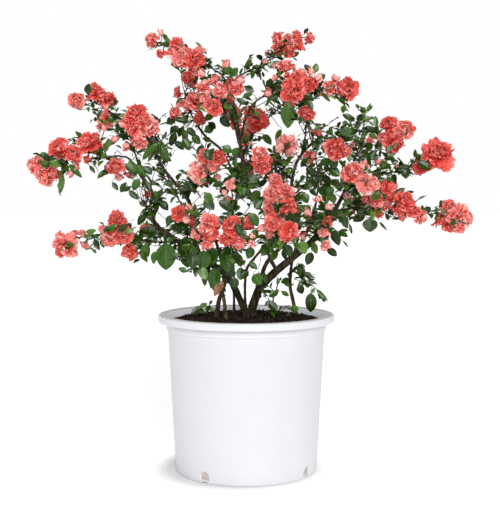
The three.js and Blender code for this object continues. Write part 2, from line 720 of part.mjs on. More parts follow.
function massSolid(name, seed, skeletons, lines, limbs) {
  const skeleton = skeletons[name];
  const { stem, heads, blades } = skeleton;
  const carrier = MASSES[name].on;
  const radii = stem.map((_, i) => THREE.MathUtils.lerp(STEM.foot, STEM.tip, i / (stem.length - 1)) / 2);
  const solid = wasm.Manifold.union([
    rod(stem, radii, STEM.sides, !carrier),
    ...heads.map(headSolid),
    ...blades.map(bladeSolid),
    ...growTufts(name, seed, skeleton, makeSpace(name, skeletons, limbs)),
  ]);
  const trimmed = carrier ? solid.subtract(grownLimb(carrier, lines)) : solid;
  return largestPiece(trimmed.simplify(FINEST_EDGE));
}

// Pot: a turned shell with a flat lip, a stepped collar, and drain arches round its foot
function potProfile() {
  const rim = RIM_DIAMETER / 2;
  const base = BASE_DIAMETER / 2;
  const inner = rim - LIP_WIDTH;
  const collar = inner + WALL;
  const underLip = POT_HEIGHT - WALL;
  const bandFoot = POT_HEIGHT - RIM_BAND;
  const collarFoot = bandFoot - COLLAR_HEIGHT;
  return [
    [0, 0], [base - EDGE, 0], [base, EDGE], [inner, collarFoot - EDGE], [collar, collarFoot],
    [collar, underLip], [rim - WALL, underLip], [rim - WALL, bandFoot], [rim, bandFoot],
    [rim, POT_HEIGHT - EDGE / 2], [rim - EDGE / 2, POT_HEIGHT], [inner, POT_HEIGHT],
    [inner - 1, POT_HEIGHT - EDGE], [inner - WALL, collarFoot - 2 * EDGE], [base - WALL, WALL], [0, WALL],
  ];
}

function lathed(profile, segments) {
  const [across, up] = [new THREE.Vector3(1, 0, 0), new THREE.Vector3(0, 1, 0)];
  return ringsSolid(profile.map(([radius, height]) => (
    ringOf(new THREE.Vector3(0, 0, height), across, up, segments, radius, radius)
  )));
}

// A round-headed block that cuts one drain hole through the pot's wall.
function drainArch(degrees) {
  const half = DRAIN.width / 2;
  const spring = DRAIN.sill + DRAIN.height - half;
  const arch = new THREE.Shape();
  arch.moveTo(-half, DRAIN.sill);
  arch.lineTo(half, DRAIN.sill);
  arch.lineTo(half, spring);
  arch.absarc(0, spring, half, 0, Math.PI, false);
  const cut = { depth: DRAIN.depth, bevelEnabled: false, curveSegments: 4 };
  const block = new THREE.ExtrudeGeometry(arch, cut);
  block.rotateX(Math.PI / 2);
  block.translate(0, (DRAIN.depth - BASE_DIAMETER) / 2, 0);
  block.rotateZ(THREE.MathUtils.degToRad(degrees));
  const bare = new THREE.BufferGeometry();
  bare.setAttribute('position', block.getAttribute('position'));
  const merged = mergeVertices(bare, FINEST_EDGE);
  return toManifold(merged.getAttribute('position').array, merged.index.array);
}

function potSolid() {
  const shell = lathed(potProfile(), POT_SEGMENTS);
  const turns = Array.from({ length: DRAIN.count }, (_, i) => DRAIN.turn + (360 * i) / DRAIN.count);
  return shell.subtract(wasm.Manifold.union(turns.map(drainArch)));
}

// Soil: it fills the pot from the floor to just under the rim, level where the stems stand
function soilSolid() {
  const foot = BASE_DIAMETER / 2 - WALL - 2 * GAP;
  const floor = WALL + GAP;
  const mound = [[SOIL_RADIUS, SOIL_EDGE], [SOIL_PLATEAU, SOIL_TOP], [0, SOIL_TOP]];
  return lathed([[0, floor], [foot, floor], ...mound], POT_SEGMENTS);
}

function soilHeight(point) {
  const share = (Math.hypot(point.x, point.y) - SOIL_PLATEAU) / (SOIL_RADIUS - SOIL_PLATEAU);
  return THREE.MathUtils.lerp(SOIL_TOP, SOIL_EDGE, Math.max(0, share));
}

function makeMesh(name, solid, look) {
  const { vertProperties, triVerts } = solid.getMesh();
  const geometry = new THREE.BufferGeometry();
  geometry.setAttribute('position', new THREE.BufferAttribute(new Float32Array(vertProperties), 3));
  geometry.setIndex(new THREE.BufferAttribute(new Uint32Array(triVerts), 1));
  geometry.computeVertexNormals();
  const mesh = new THREE.Mesh(geometry, new THREE.MeshStandardMaterial({ ...look, metalness: 0 }));
  mesh.name = name;
  return mesh;
}

function buildPlant() {
  const plant = new THREE.Group();
  plant.name = 'potted_flowering_quince';
  plant.add(makeMesh('pot', potSolid(), LOOKS.pot));
  plant.add(makeMesh('soil', soilSolid(), LOOKS.soil));
  const limbNames = Object.keys(LIMBS);
  const massNames = Object.keys(MASSES);
  const lines = Object.fromEntries(limbNames.map((name) => [name, limbLine(name)]));
  const limbs = limbNames.map((name) => ({ line: lines[name], radius: LIMBS[name].thick[0] / 2 }));
  const skeletons = Object.fromEntries(massNames.map((name) => [name, massSkeleton(name, lines)]));
  limbNames.forEach((name) => plant.add(makeMesh(name, limbSolid(name, lines), LOOKS.bark)));
  massNames.forEach((name, i) => {
    plant.add(makeMesh(name, massSolid(name, i + 1, skeletons, lines, limbs), LOOKS.mass));
  });
  return plant;
}

export default buildPlant();
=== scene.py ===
"""Looks of a potted flowering quince: a many-stemmed shrub in double blossom, in a white nursery pot.

Sizes are in millimetres and turned into Blender's metres where a mesh is made. +Z is up, the front
faces -Y, and the origin is the middle of the pot's flat underside.
"""
import math

import bpy
import numpy as np
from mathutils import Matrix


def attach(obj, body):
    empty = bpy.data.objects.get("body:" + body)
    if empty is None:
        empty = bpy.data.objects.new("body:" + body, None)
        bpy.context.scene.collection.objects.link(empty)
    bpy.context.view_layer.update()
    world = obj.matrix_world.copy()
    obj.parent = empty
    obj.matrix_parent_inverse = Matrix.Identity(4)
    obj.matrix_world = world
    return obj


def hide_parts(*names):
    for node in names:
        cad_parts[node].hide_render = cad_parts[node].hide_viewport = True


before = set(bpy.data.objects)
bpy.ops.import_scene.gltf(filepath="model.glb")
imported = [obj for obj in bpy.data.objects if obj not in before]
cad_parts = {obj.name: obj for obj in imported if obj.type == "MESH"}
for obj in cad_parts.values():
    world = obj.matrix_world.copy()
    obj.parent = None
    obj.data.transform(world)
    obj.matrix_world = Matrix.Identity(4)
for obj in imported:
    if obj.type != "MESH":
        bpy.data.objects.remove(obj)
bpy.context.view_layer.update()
MM = 0.001

# Places on the plant are [column, row, depth]: where the point shows in a picture of 500 x 517
# pixels, and its depth in mm behind the pot's axis. The camera of that picture:
PICTURE = {"middle_column": 250, "middle_row": 258.5, "focal_pixels": 1007, "height": 517}
CAMERA = {"back": 1603, "up": 430.5, "side": 6, "pitch": math.radians(3.31)}
PIXEL = CAMERA["back"] / PICTURE["focal_pixels"]
# Behind this depth a blossom opens to the back; a way that rises more than this is steep
BACK_DEPTH = 100
STEEP = 0.9
SENSOR = 36

# Pot and soil
RIM_RADIUS = 140
POT_HEIGHT = 250
BASE_RADIUS = 113
LIP_WIDTH = 15
RIM_BAND = 11.5
COLLAR_HEIGHT = 12
WALL = 2.5
FOOT_ROUNDING = 3.0
# Drain holes and the notches under them; edge is how soft their outline is, and the key after it how far
# inside the outline the painted shade lies
DRAIN = {
    "count": 4, "turn": -34, "width": 16, "height": 14, "sill": 4.5, "depth": 2.2, "edge": 0.7,
    "painted_shade_inset": 0.4, "facing": 0.9, "below": 26, "outside": 6,
}
NOTCH = {"width": 12, "height": 2.6, "depth": 5, "edge": 0.25, "painted_shade_inset": 0.1}
SOIL_TOP = 245
SOIL_EDGE = 238
SOIL_PLATEAU = 92
SOIL_INSET = 2.3
SOIL_RADIUS = RIM_RADIUS - LIP_WIDTH - SOIL_INSET
GAP = 0.3
WALL_CLEARANCE = 2
# Steps round the pot and up its wall, and how many rows of its mesh are inside the lip
POT_STEP = {"round": 144, "at_hole": 33, "half_hole": 6, "low_wall": 24, "height": 0.6, "high_rows": 16}
INNER_ROWS = 9
# Soil mesh with its folds as depth, scale and seed, and chips of bark with the least and most length,
# width and height
SOIL = {"inner": (0.5, 3), "rings": 44, "sides": 150, "folds": [(1.3, 17, 3), (0.9, 6, 4)], "sink": 1.2}
CHIP = {
    "count": 1500, "margin": 3, "rise": (-1.6, 0.9), "sizes": [(2, 7), (1.2, 3.2), (0.7, 1.8)],
    "shrink": 1.6, "corners": (0.55, 1.1), "tilt": 0.35,
}
CRINKLE = {"waves": 6, "height": 3.2}
# Where along its length a wave starts, drawn anew for each
PHASES = (0, 6)

# Limbs, stems, twigs and leaves: thicknesses and lengths in mm, leaning in degrees
LIMB = {
    "steps": 9, "sides": 11, "stout": 10, "stout_sides": 20, "flare": 0.45, "flare_share": 0.12,
    "ring_every": 2.4, "sink": 3, "clearance": 1, "end": 0.985, "end_share": 0.8,
}
# Bark relief in shares of the radius: lobes that twist about a limb, and ridges that bend along it
RELIEF = {
    "lobes": 0.07, "lobe_count": 3, "twist": 0.05, "ridges": 0.05, "ridge_count": 7, "bends": 0.13,
    "bend": 1.5, "rough": 0.022, "thin_share": 0.6,
}
KNOT = {"every": 26, "first": 5, "length": 2.6, "spread": 0.35, "rise": 0.3}
STEM = {"steps": 5, "foot": 3.3, "tip": 1.5, "sides": 6, "wander": 0.5, "sprigs_from": 0.12,
        "thicker_than": 2}
TWIG = {
    "first": 0.22, "last": 0.98, "tries": 8, "retry_turn": 0.9, "shortest": 12, "longest": 24,
    "least_lean": 50, "most_lean": 66, "lift": 0.3, "foot": 1.9, "tip": 1.0,
    "side_leaves": (0.4, 0.8), "beyond": (0.3, 0.45), "bend": 1.2, "leaf_share": (0.65, 0.95),
    "widths": (0.4, 0.52), "buds": (0.25, 0.95, 4), "bud_leaves": (9, 22), "sides": 4,
}
LEAF = {
    "shortest": 34, "longest": 48, "widest": 0.45, "least_splay": 0.9, "most_splay": 1.4,
    "tilt": 0.25, "apart": 15, "clear": 10, "ahead": 8, "faces": [(-0.5, 0.5), (-0.8, 0.2), (0.8, 1.8)],
}
LEAF_SHAPE = {"fold": (0.1, 0.45), "droop": (-0.1, 0.75), "wave": (0.02, 0.07), "phase": PHASES}
SPRAY = {
    "single": 0.22, "every": 5.0, "shortest": 9, "longest": 18, "bend": 0.06, "foot": 1.4, "tip": 0.8,
    "end": 0.85, "first": 0.15, "ahead": 0.8, "turns": (0.6, 1.3), "end_turns": (-0.3, 0.3),
    "lift": (0.1, 0.4), "face_chance": 0.45, "widths": (0.42, 0.6),
}
ROSETTE = {
    "chance": 0.35, "ahead": (0.15, 0.9), "lift": 0.15, "widths": (0.4, 0.58),
    "faces": [(-0.6, 0.6), (-1.0, 0.3), (0.5, 1.6)],
}
# Leaf looks and their shares; the last, look 6, has pale streaks painted in as gloss highlights
LEAF_LOOKS = [0, 1, 2, 3, 6]
LEAF_SHARES = [0.35, 0.30, 0.17, 0.03, 0.15]
SHOOT = {
    "every": 9.0, "shortest": 14, "longest": 40, "first": 0.12, "last": 0.98, "turn": 1.3,
    "ahead": (0.3, 1.0), "middle": 0.6, "faces": [(-0.5, 0.5), (-1.0, 0.2), (0.6, 1.6)],
}
LIMB_SPRIGS = {"from": 0.3, "every": 15.0, "thinner_than": 14}
SPRIG = {
    "every": 9.0, "spots": (0.2, 0.8), "last": 0.99, "ahead": 0.5, "spurs": (0.4, 1.6), "spur": 5,
    "foot": 1.1, "tip": 0.7, "leaves": (1, 4), "lengths": (7, 21),
}
HUNG = {
    "spots": (0.1, 1, 16), "looks": [0.45, 0.4, 0.15], "nod": 4, "bends": (0.35, 0.7), "bend": 0.07,
    "aside": (-0.35, 0.35), "up": (0.1, 0.7), "foot": 1.2, "tip": 0.8,
}
SPROUT = {"foot": 2.0, "tip": 1.2, "steps": 3}
# Spurs that carry the blossoms, and how far blossoms stand off their stem
SPUR = {"thick": 1.7, "taper": 0.75, "first": 0.3, "spots": 15, "bend": 1.0, "neck": 0.2}
STEM_CLEARANCE = 3.1
SMALL_DEPTHS = (-10, 4)
# How a blossom faces: shares of its spur's way, of the way out of the crown's heart and of its open
# side, and how much chance turns it; then the same for one that turns its back
HEART_HEIGHT = 420
FACING = {"spur": 0.8, "outwards": 0.5, "open_side": 0.45, "chance": 0.3}
TURNED = {"outwards": 0.7, "open_side": -0.75, "sink": -0.2, "chance": 0.25}
# No leaf stands in a blossom's core, or this far before an open blossom and this near its axis, in
# radii; the free way before a blossom is tilted to its open side
CORE = 0.8
OPEN_TILT = 0.8
OPEN_AHEAD = 3
OPEN_BESIDE = 0.75
# Between one side shoot and the next
GOLDEN_TURN = math.radians(137.5)
# Seeds of the random draws, the first of each kind
SEEDS = {"mass": 500, "limb": 700, "sprout": 900, "bark": 40, "chips": 21}

# Blossom: whorls of petals as [count, length in radii, lean in degrees at the foot and at the tip,
# cupping], from the outermost to the innermost; its kind by radius in mm, with how deep its foot lies
# in radii and the petal tones it can have
OPEN_WHORLS = [
    [7, 1.06, 80, 122, 0.35], [7, 1.12, 63, 98, 0.4], [6, 1.16, 48, 70, 0.45],
    [6, 1.18, 35, 42, 0.5], [5, 1.14, 22, 14, 0.55], [4, 1.0, 10, -12, 0.6],
]
HALF_WHORLS = [
    [5, 1.25, 62, 62, 0.35], [5, 1.2, 46, 30, 0.4], [5, 1.05, 34, 0, 0.45], [4, 0.85, 16, -20, 0.5],
]
BUD_WHORLS = [[5, 2.9, 84, -70, 0.42], [4, 2.7, 76, -74, 0.42]]
PETAL_ROWS = np.array([0, 0.3, 0.55, 0.76, 0.9, 1.0])
PETAL_COLUMNS = np.array([-1, -0.8, -0.5, -0.17, 0.17, 0.5, 0.8, 1])
HALF_OPEN_BELOW = 9.6
BUD_BELOW = 6.6
OPEN_KIND = (OPEN_WHORLS, 0.45, (1, 1, 2))
HALF_KIND = (HALF_WHORLS, 0.6, (1, 2, 3))
BUD_KIND = (BUD_WHORLS, 1.0, (3, 4))
AWAY_TONES = (2, 3)
# Petals: chance in the turn, length and width in radii, and lean at foot and tip in degrees; how deep they
# wave and how their tone varies; and where they are widest, how narrow at the foot, how round at the tip
PETAL = {
    "turn": 0.2, "lengths": (0.8, 1.16), "widths": (0.7, 1.05), "foot_lean": 11, "tip_lean": 20,
    "waves": (0.08, 0.22), "bud_wave": 0.01, "tones": [-1, 0, 0, 0, 1], "looks": (1, 3), "widest": 0.68,
    "starts": (0.3, 0.9), "away": 2, "foot": 0.22, "rounding": 0.72, "margin": 0.13,
    "least_width": 0.62, "more_width": 0.38, "long": 1.2,
}
# Ruffles: ripples across a petal and along it, and finer ones with their share of the depth
RUFFLE = {"across": 4.2, "along": 2.2, "finer": 8.5, "finer_share": 0.6}
# Petals are counted round from the side that is square to this
ASIDE = (0.31, 0.2, 0.93)
CALYX = {"count": 5, "turns": (-0.2, 0.2), "drop": 0.16, "length": 0.5, "longest": 4.5, "width": 0.42,
         "widest": 3.6}
SEPAL = {"foot_lean": 1.0, "tip_lean": 0.9, "cup": 0.3, "wave": 0.02, "phase": 0.0, "look": 0}
STAMEN = {"count": 7, "foot": 0.2, "reach": (0.6, 0.8), "spread": (0.05, 0.45), "thick": 0.22,
          "head": 0.6, "head_share": 0.14}

# Leaf sheets: rows and columns of points, for ribbed and for plain leaves, as shares of the length and
# of the half width; the stalk's length and width and how blunt the blade's foot and tip are; and the
# length in mm from which leaves have ribs
LEAF_ROWS = {True: np.array([0, 0.1, 0.18, 0.32, 0.48, 0.64, 0.8, 0.92, 1.0]),
             False: np.array([0, 0.14, 0.36, 0.62, 0.86, 1.0])}
LEAF_COLUMNS = {True: np.array([-1, -0.55, -0.05, 0.05, 0.55, 1]), False: np.array([-1, 0, 1])}
BLADE = {"stalk": 0.1, "stalk_width": 0.045, "foot": 0.62, "tip": 0.78, "ripples": 8}
LEAST_BEND = 0.02
RIB_LOOK = 5
RIBBED_FROM = 20

# Surfaces: colours from dark to light, the grain as spots in a metre, the roughness, the relief in mm, how
# the grain is stretched, and shader inputs by name
LIMB_BARK = {"grain": 220, "stretch": (1, 1, 0.25), "Specular_IOR_Level": 0.2}
BARKS = {
    "bark": {"tones": [(0.010, 0.008, 0.003), (0.032, 0.024, 0.010), (0.085, 0.067, 0.036)],
             "roughness": 0.85, "relief": 0.9, **LIMB_BARK},
    "young_bark": {"tones": [(0.018, 0.011, 0.004), (0.058, 0.037, 0.015), (0.14, 0.095, 0.050)],
                   "roughness": 0.75, "relief": 0.6, **LIMB_BARK},
    "twig_bark": {"tones": [(0.020, 0.013, 0.003), (0.064, 0.040, 0.013)], "grain": 260,
                  "roughness": 0.7, "relief": 0.3, "stretch": (1, 1, 0.3), "Specular_IOR_Level": 0.2},
}
# A limb under this many mm has the young bark
YOUNG_BARK_BELOW = 9
LEAF_TONES = {
    "leaf_dark": [(0.009, 0.028, 0.001), (0.020, 0.056, 0.002)],
    "leaf_mid": [(0.020, 0.072, 0.001), (0.042, 0.118, 0.004)],
    "leaf_light": [(0.050, 0.136, 0.006), (0.110, 0.215, 0.030)],
    "leaf_fresh": [(0.12, 0.26, 0.015), (0.20, 0.36, 0.03)],
    "leaf_burnt": [(0.10, 0.040, 0.018), (0.48, 0.22, 0.12)],
    "leaf_rib": [(0.06, 0.12, 0.025), (0.10, 0.18, 0.05)],
    # Pale streaks painted in as gloss highlights
    "leaf_painted_highlight": [(0.045, 0.120, 0.020), (0.25, 0.38, 0.20)],
}
LEAF_SURFACE = {"grain": 140, "roughness": 0.28, "relief": 0.25, "Specular_IOR_Level": 0.38}
# Petal tones; the deepest, only at a petal's foot, is painted shade, and the palest, only on margins, a
# painted highlight
PETAL_TONES = {
    "petal_deep_painted_shade": [(0.50, 0.016, 0.020), (0.66, 0.040, 0.036)],
    "petal_coral": [(0.74, 0.080, 0.066), (0.82, 0.148, 0.120)],
    "petal_salmon": [(0.84, 0.178, 0.152), (0.90, 0.305, 0.255)],
    "petal_pink": [(0.92, 0.330, 0.295), (0.96, 0.480, 0.425)],
    "petal_blush_painted_highlight": [(0.96, 0.530, 0.475), (0.98, 0.690, 0.620)],
}
# A faint glow stands for the light that comes through petals, and one for that through the thin lip
PETAL_SURFACE = {
    "grain": 160, "roughness": 0.6, "relief": 0.15, "Specular_IOR_Level": 0.2,
    "Emission_Color": (1, 0.05, 0.04, 1), "Emission_Strength": 0.03,
}
CALYX_LOOK = {"tones": [(0.07, 0.10, 0.03), (0.22, 0.07, 0.04)], "grain": 150, "roughness": 0.5}
STAMEN_LOOK = {"tones": [(0.75, 0.40, 0.12), (0.85, 0.6, 0.25)], "grain": 200, "roughness": 0.6}
WHITE = {"grain": 30, "roughness": 0.42, "relief": 0.02}
POT_LOOKS = {
    "white_plastic": {"tones": [(0.677, 0.687, 0.711), (0.697, 0.707, 0.731)], **WHITE},
    # Painted shade inside the drain holes and the notches under them
    "hole_painted_shade": {"tones": [(0.42, 0.36, 0.33), (0.55, 0.49, 0.46)], "grain": 250, "roughness": 0.8,
                  "relief": 0.3},
    # The inner side: a lighter copy of the white plastic with a faint glow, painted light for light through
    # the thin lip
    "inner_wall_painted_glow": {"tones": [(0.86, 0.87, 0.90), (0.90, 0.91, 0.93)], "grain": 30, "roughness": 0.5,
                   "relief": 0.02, "Emission_Color": (0.92, 0.95, 1, 1), "Emission_Strength": 0.16},
    # A slightly darker copy of the white plastic for the wall below the collar: painted shade
    "white_wall_painted_shade": {"tones": [(0.643, 0.651, 0.677), (0.663, 0.671, 0.697)], **WHITE},
}
# Which of these looks the pot's inner side and its lower wall have; the first is the collar's. The inner
# side's is a lighter copy of the plastic with a faint glow, painted light; the lower wall's is a darker copy,
# painted shade
INNER_GLOW_LOOK = 2
SHADED_WALL_LOOK = 3
CHIP_TONES = {
    "chip_0": [(0.010, 0.006, 0.004), (0.028, 0.017, 0.010)],
    "chip_1": [(0.02, 0.012, 0.008), (0.05, 0.03, 0.018)],
    "chip_2": [(0.035, 0.022, 0.014), (0.09, 0.055, 0.033)],
    "chip_3": [(0.015, 0.010, 0.007), (0.035, 0.022, 0.014)],
}
CHIP_SURFACE = {"grain": 400, "roughness": 0.9, "relief": 0.4, "Specular_IOR_Level": 0.15}
FLOOR_LOOK = {
    "tones": [(0.83, 0.83, 0.83), (0.85, 0.85, 0.85)], "grain": 2, "roughness": 0.9,
    "Emission_Color": (1, 1, 1, 1),
}
# Noise of the colour with the shares of it that run from the darkest to the lightest tone, how much it
# varies the gloss, and the noise of the relief
GRAIN = {"roughness": 0.6, "detail": 4, "darkest": 0.32, "lightest": 0.68, "gloss": 0.08}
RIPPLE = {"finer": 2.5, "detail": 3, "strength": 0.6}

# White studio: the world dims between two heights, the floor glows except in a painted contact shadow round
# the pot's foot, set off to the left, and the key light stands at a rise and a turn to the right of the front
# in degrees
STUDIO = {
    "white_below": 0.22, "dim_above": 0.4, "dim": 0.42, "floor_half": 30, "floor_glow": 0.51,
    "painted_shadow_glow": 0.06, "painted_shadow_ring": 32, "painted_shadow_aside": 12,
    "key_rise": 25, "key_turn": 6, "key_strength": 1.75, "key_softness": 26,
}

# Limbs: path from foot to tip, thickness in mm at both ends, and the limb that carries it
LIMBS = {
    "stool": {
        "thick": [22, 18],
        "path": [[249, 315, 2], [248.7, 312, 2], [248.3, 309, 2]],
    },
    "left_trunk": {
        "on": "stool",
        "thick": [10.5, 8.5],
        "path": [[245.5, 311, 4], [239, 297, 6], [233, 285, 6], [224, 273, 4], [208, 262, 0],
          [190, 249, -6], [172, 237, -10]],
    },
    "right_trunk": {
        "on": "stool",
        "thick": [14, 9.5],
        "path": [[251.5, 311, 0], [256, 297, -2], [261, 287, -3], [273, 274, -6], [293, 257, -12],
          [308, 245, -16], [322, 231, -20]],
    },
    "middle_stem": {
        "thick": [4.4, 3.8],
        "path": [[246, 312, 34], [245, 290, 34], [247, 269, 34], [256, 256, 36], [267, 243, 40],
          [270, 226, 42], [259, 206, 44], [249, 190, 45], [243, 168, 46], [239, 132, 44]],
    },
    "left_stem": {
        "thick": [7.5, 4.5],
        "path": [[216, 316, -8], [219, 300, -9], [224, 283, -16], [221, 260, -44], [215, 238, -74]],
    },
    "pale_stem": {
        "thick": [6, 4],
        "path": [[226, 318, -34], [224, 299, -36], [220, 283, -44], [213, 268, -62]],
    },
    "right_stem": {
        "thick": [6.6, 4],
        "path": [[296, 313, 42], [293, 300, 42], [290, 284, 44], [292, 262, 56], [298, 240, 84]],
    },
    "back_stem": {
        "thick": [4.6, 4],
        "path": [[234, 312, 56], [234, 285, 78], [233, 258, 112], [232, 236, 146]],
    },
    "left_fork": {
        "on": "left_trunk",
        "thick": [8, 4.6],
        "path": [[172, 237, -10], [160, 229, -13], [153, 219, -16], [156, 206, -18], [150, 188, -22],
          [141, 176, -25], [134, 164, -28]],
    },
    "inner_left_bough": {
        "on": "left_trunk",
        "thick": [8, 4.4],
        "path": [[200, 256, -3], [194, 236, 16], [191, 208, 28], [184, 194, 31], [171, 178, 34],
          [162, 167, 36]],
    },
    "back_left_bough": {
        "on": "left_trunk",
        "thick": [7.5, 4.4],
        "path": [[216, 267, 1], [206, 246, 50], [192, 224, 100], [182, 206, 140]],
    },
    "right_inner_bough": {
        "on": "right_trunk",
        "thick": [7.5, 5.6],
        "path": [[261, 287, -3], [263, 272, 12], [268, 261, 18], [278, 250, 24], [287, 240, 30],
          [291, 216, 40]],
    },
    "right_bough": {
        "on": "right_trunk",
        "thick": [8, 4.8],
        "path": [[322, 231, -20], [334, 212, -17], [344, 193, -12], [353, 178, -8]],
    },
    "back_right_bough": {
        "on": "right_trunk",
        "thick": [7.5, 4.4],
        "path": [[288, 261, -10], [300, 246, 40], [310, 224, 96], [316, 203, 140]],
    },
    "front_bough": {
        "on": "right_trunk",
        "thick": [6.5, 4.4],
        "path": [[277, 271, -7], [272, 262, -36], [268, 252, -78], [268, 242, -112]],
    },
    "upper_left_bough": {
        "on": "middle_stem",
        "thick": [4.2, 3.6],
        "path": [[259, 206, 44], [248, 196, 36], [237, 180, 30], [222, 151, 20], [206, 137, 10],
          [196, 123, 4]],
    },
    "top_bough": {
        "on": "middle_stem",
        "thick": [3.8, 3.2],
        "path": [[239, 132, 44], [235, 108, 26], [229, 86, 8]],
    },
    "right_upper_bough": {
        "on": "right_inner_bough",
        "thick": [6, 4.2],
        "path": [[291, 216, 40], [291, 190, 46], [296, 164, 46], [307, 148, 42], [318, 140, 38]],
    },
}

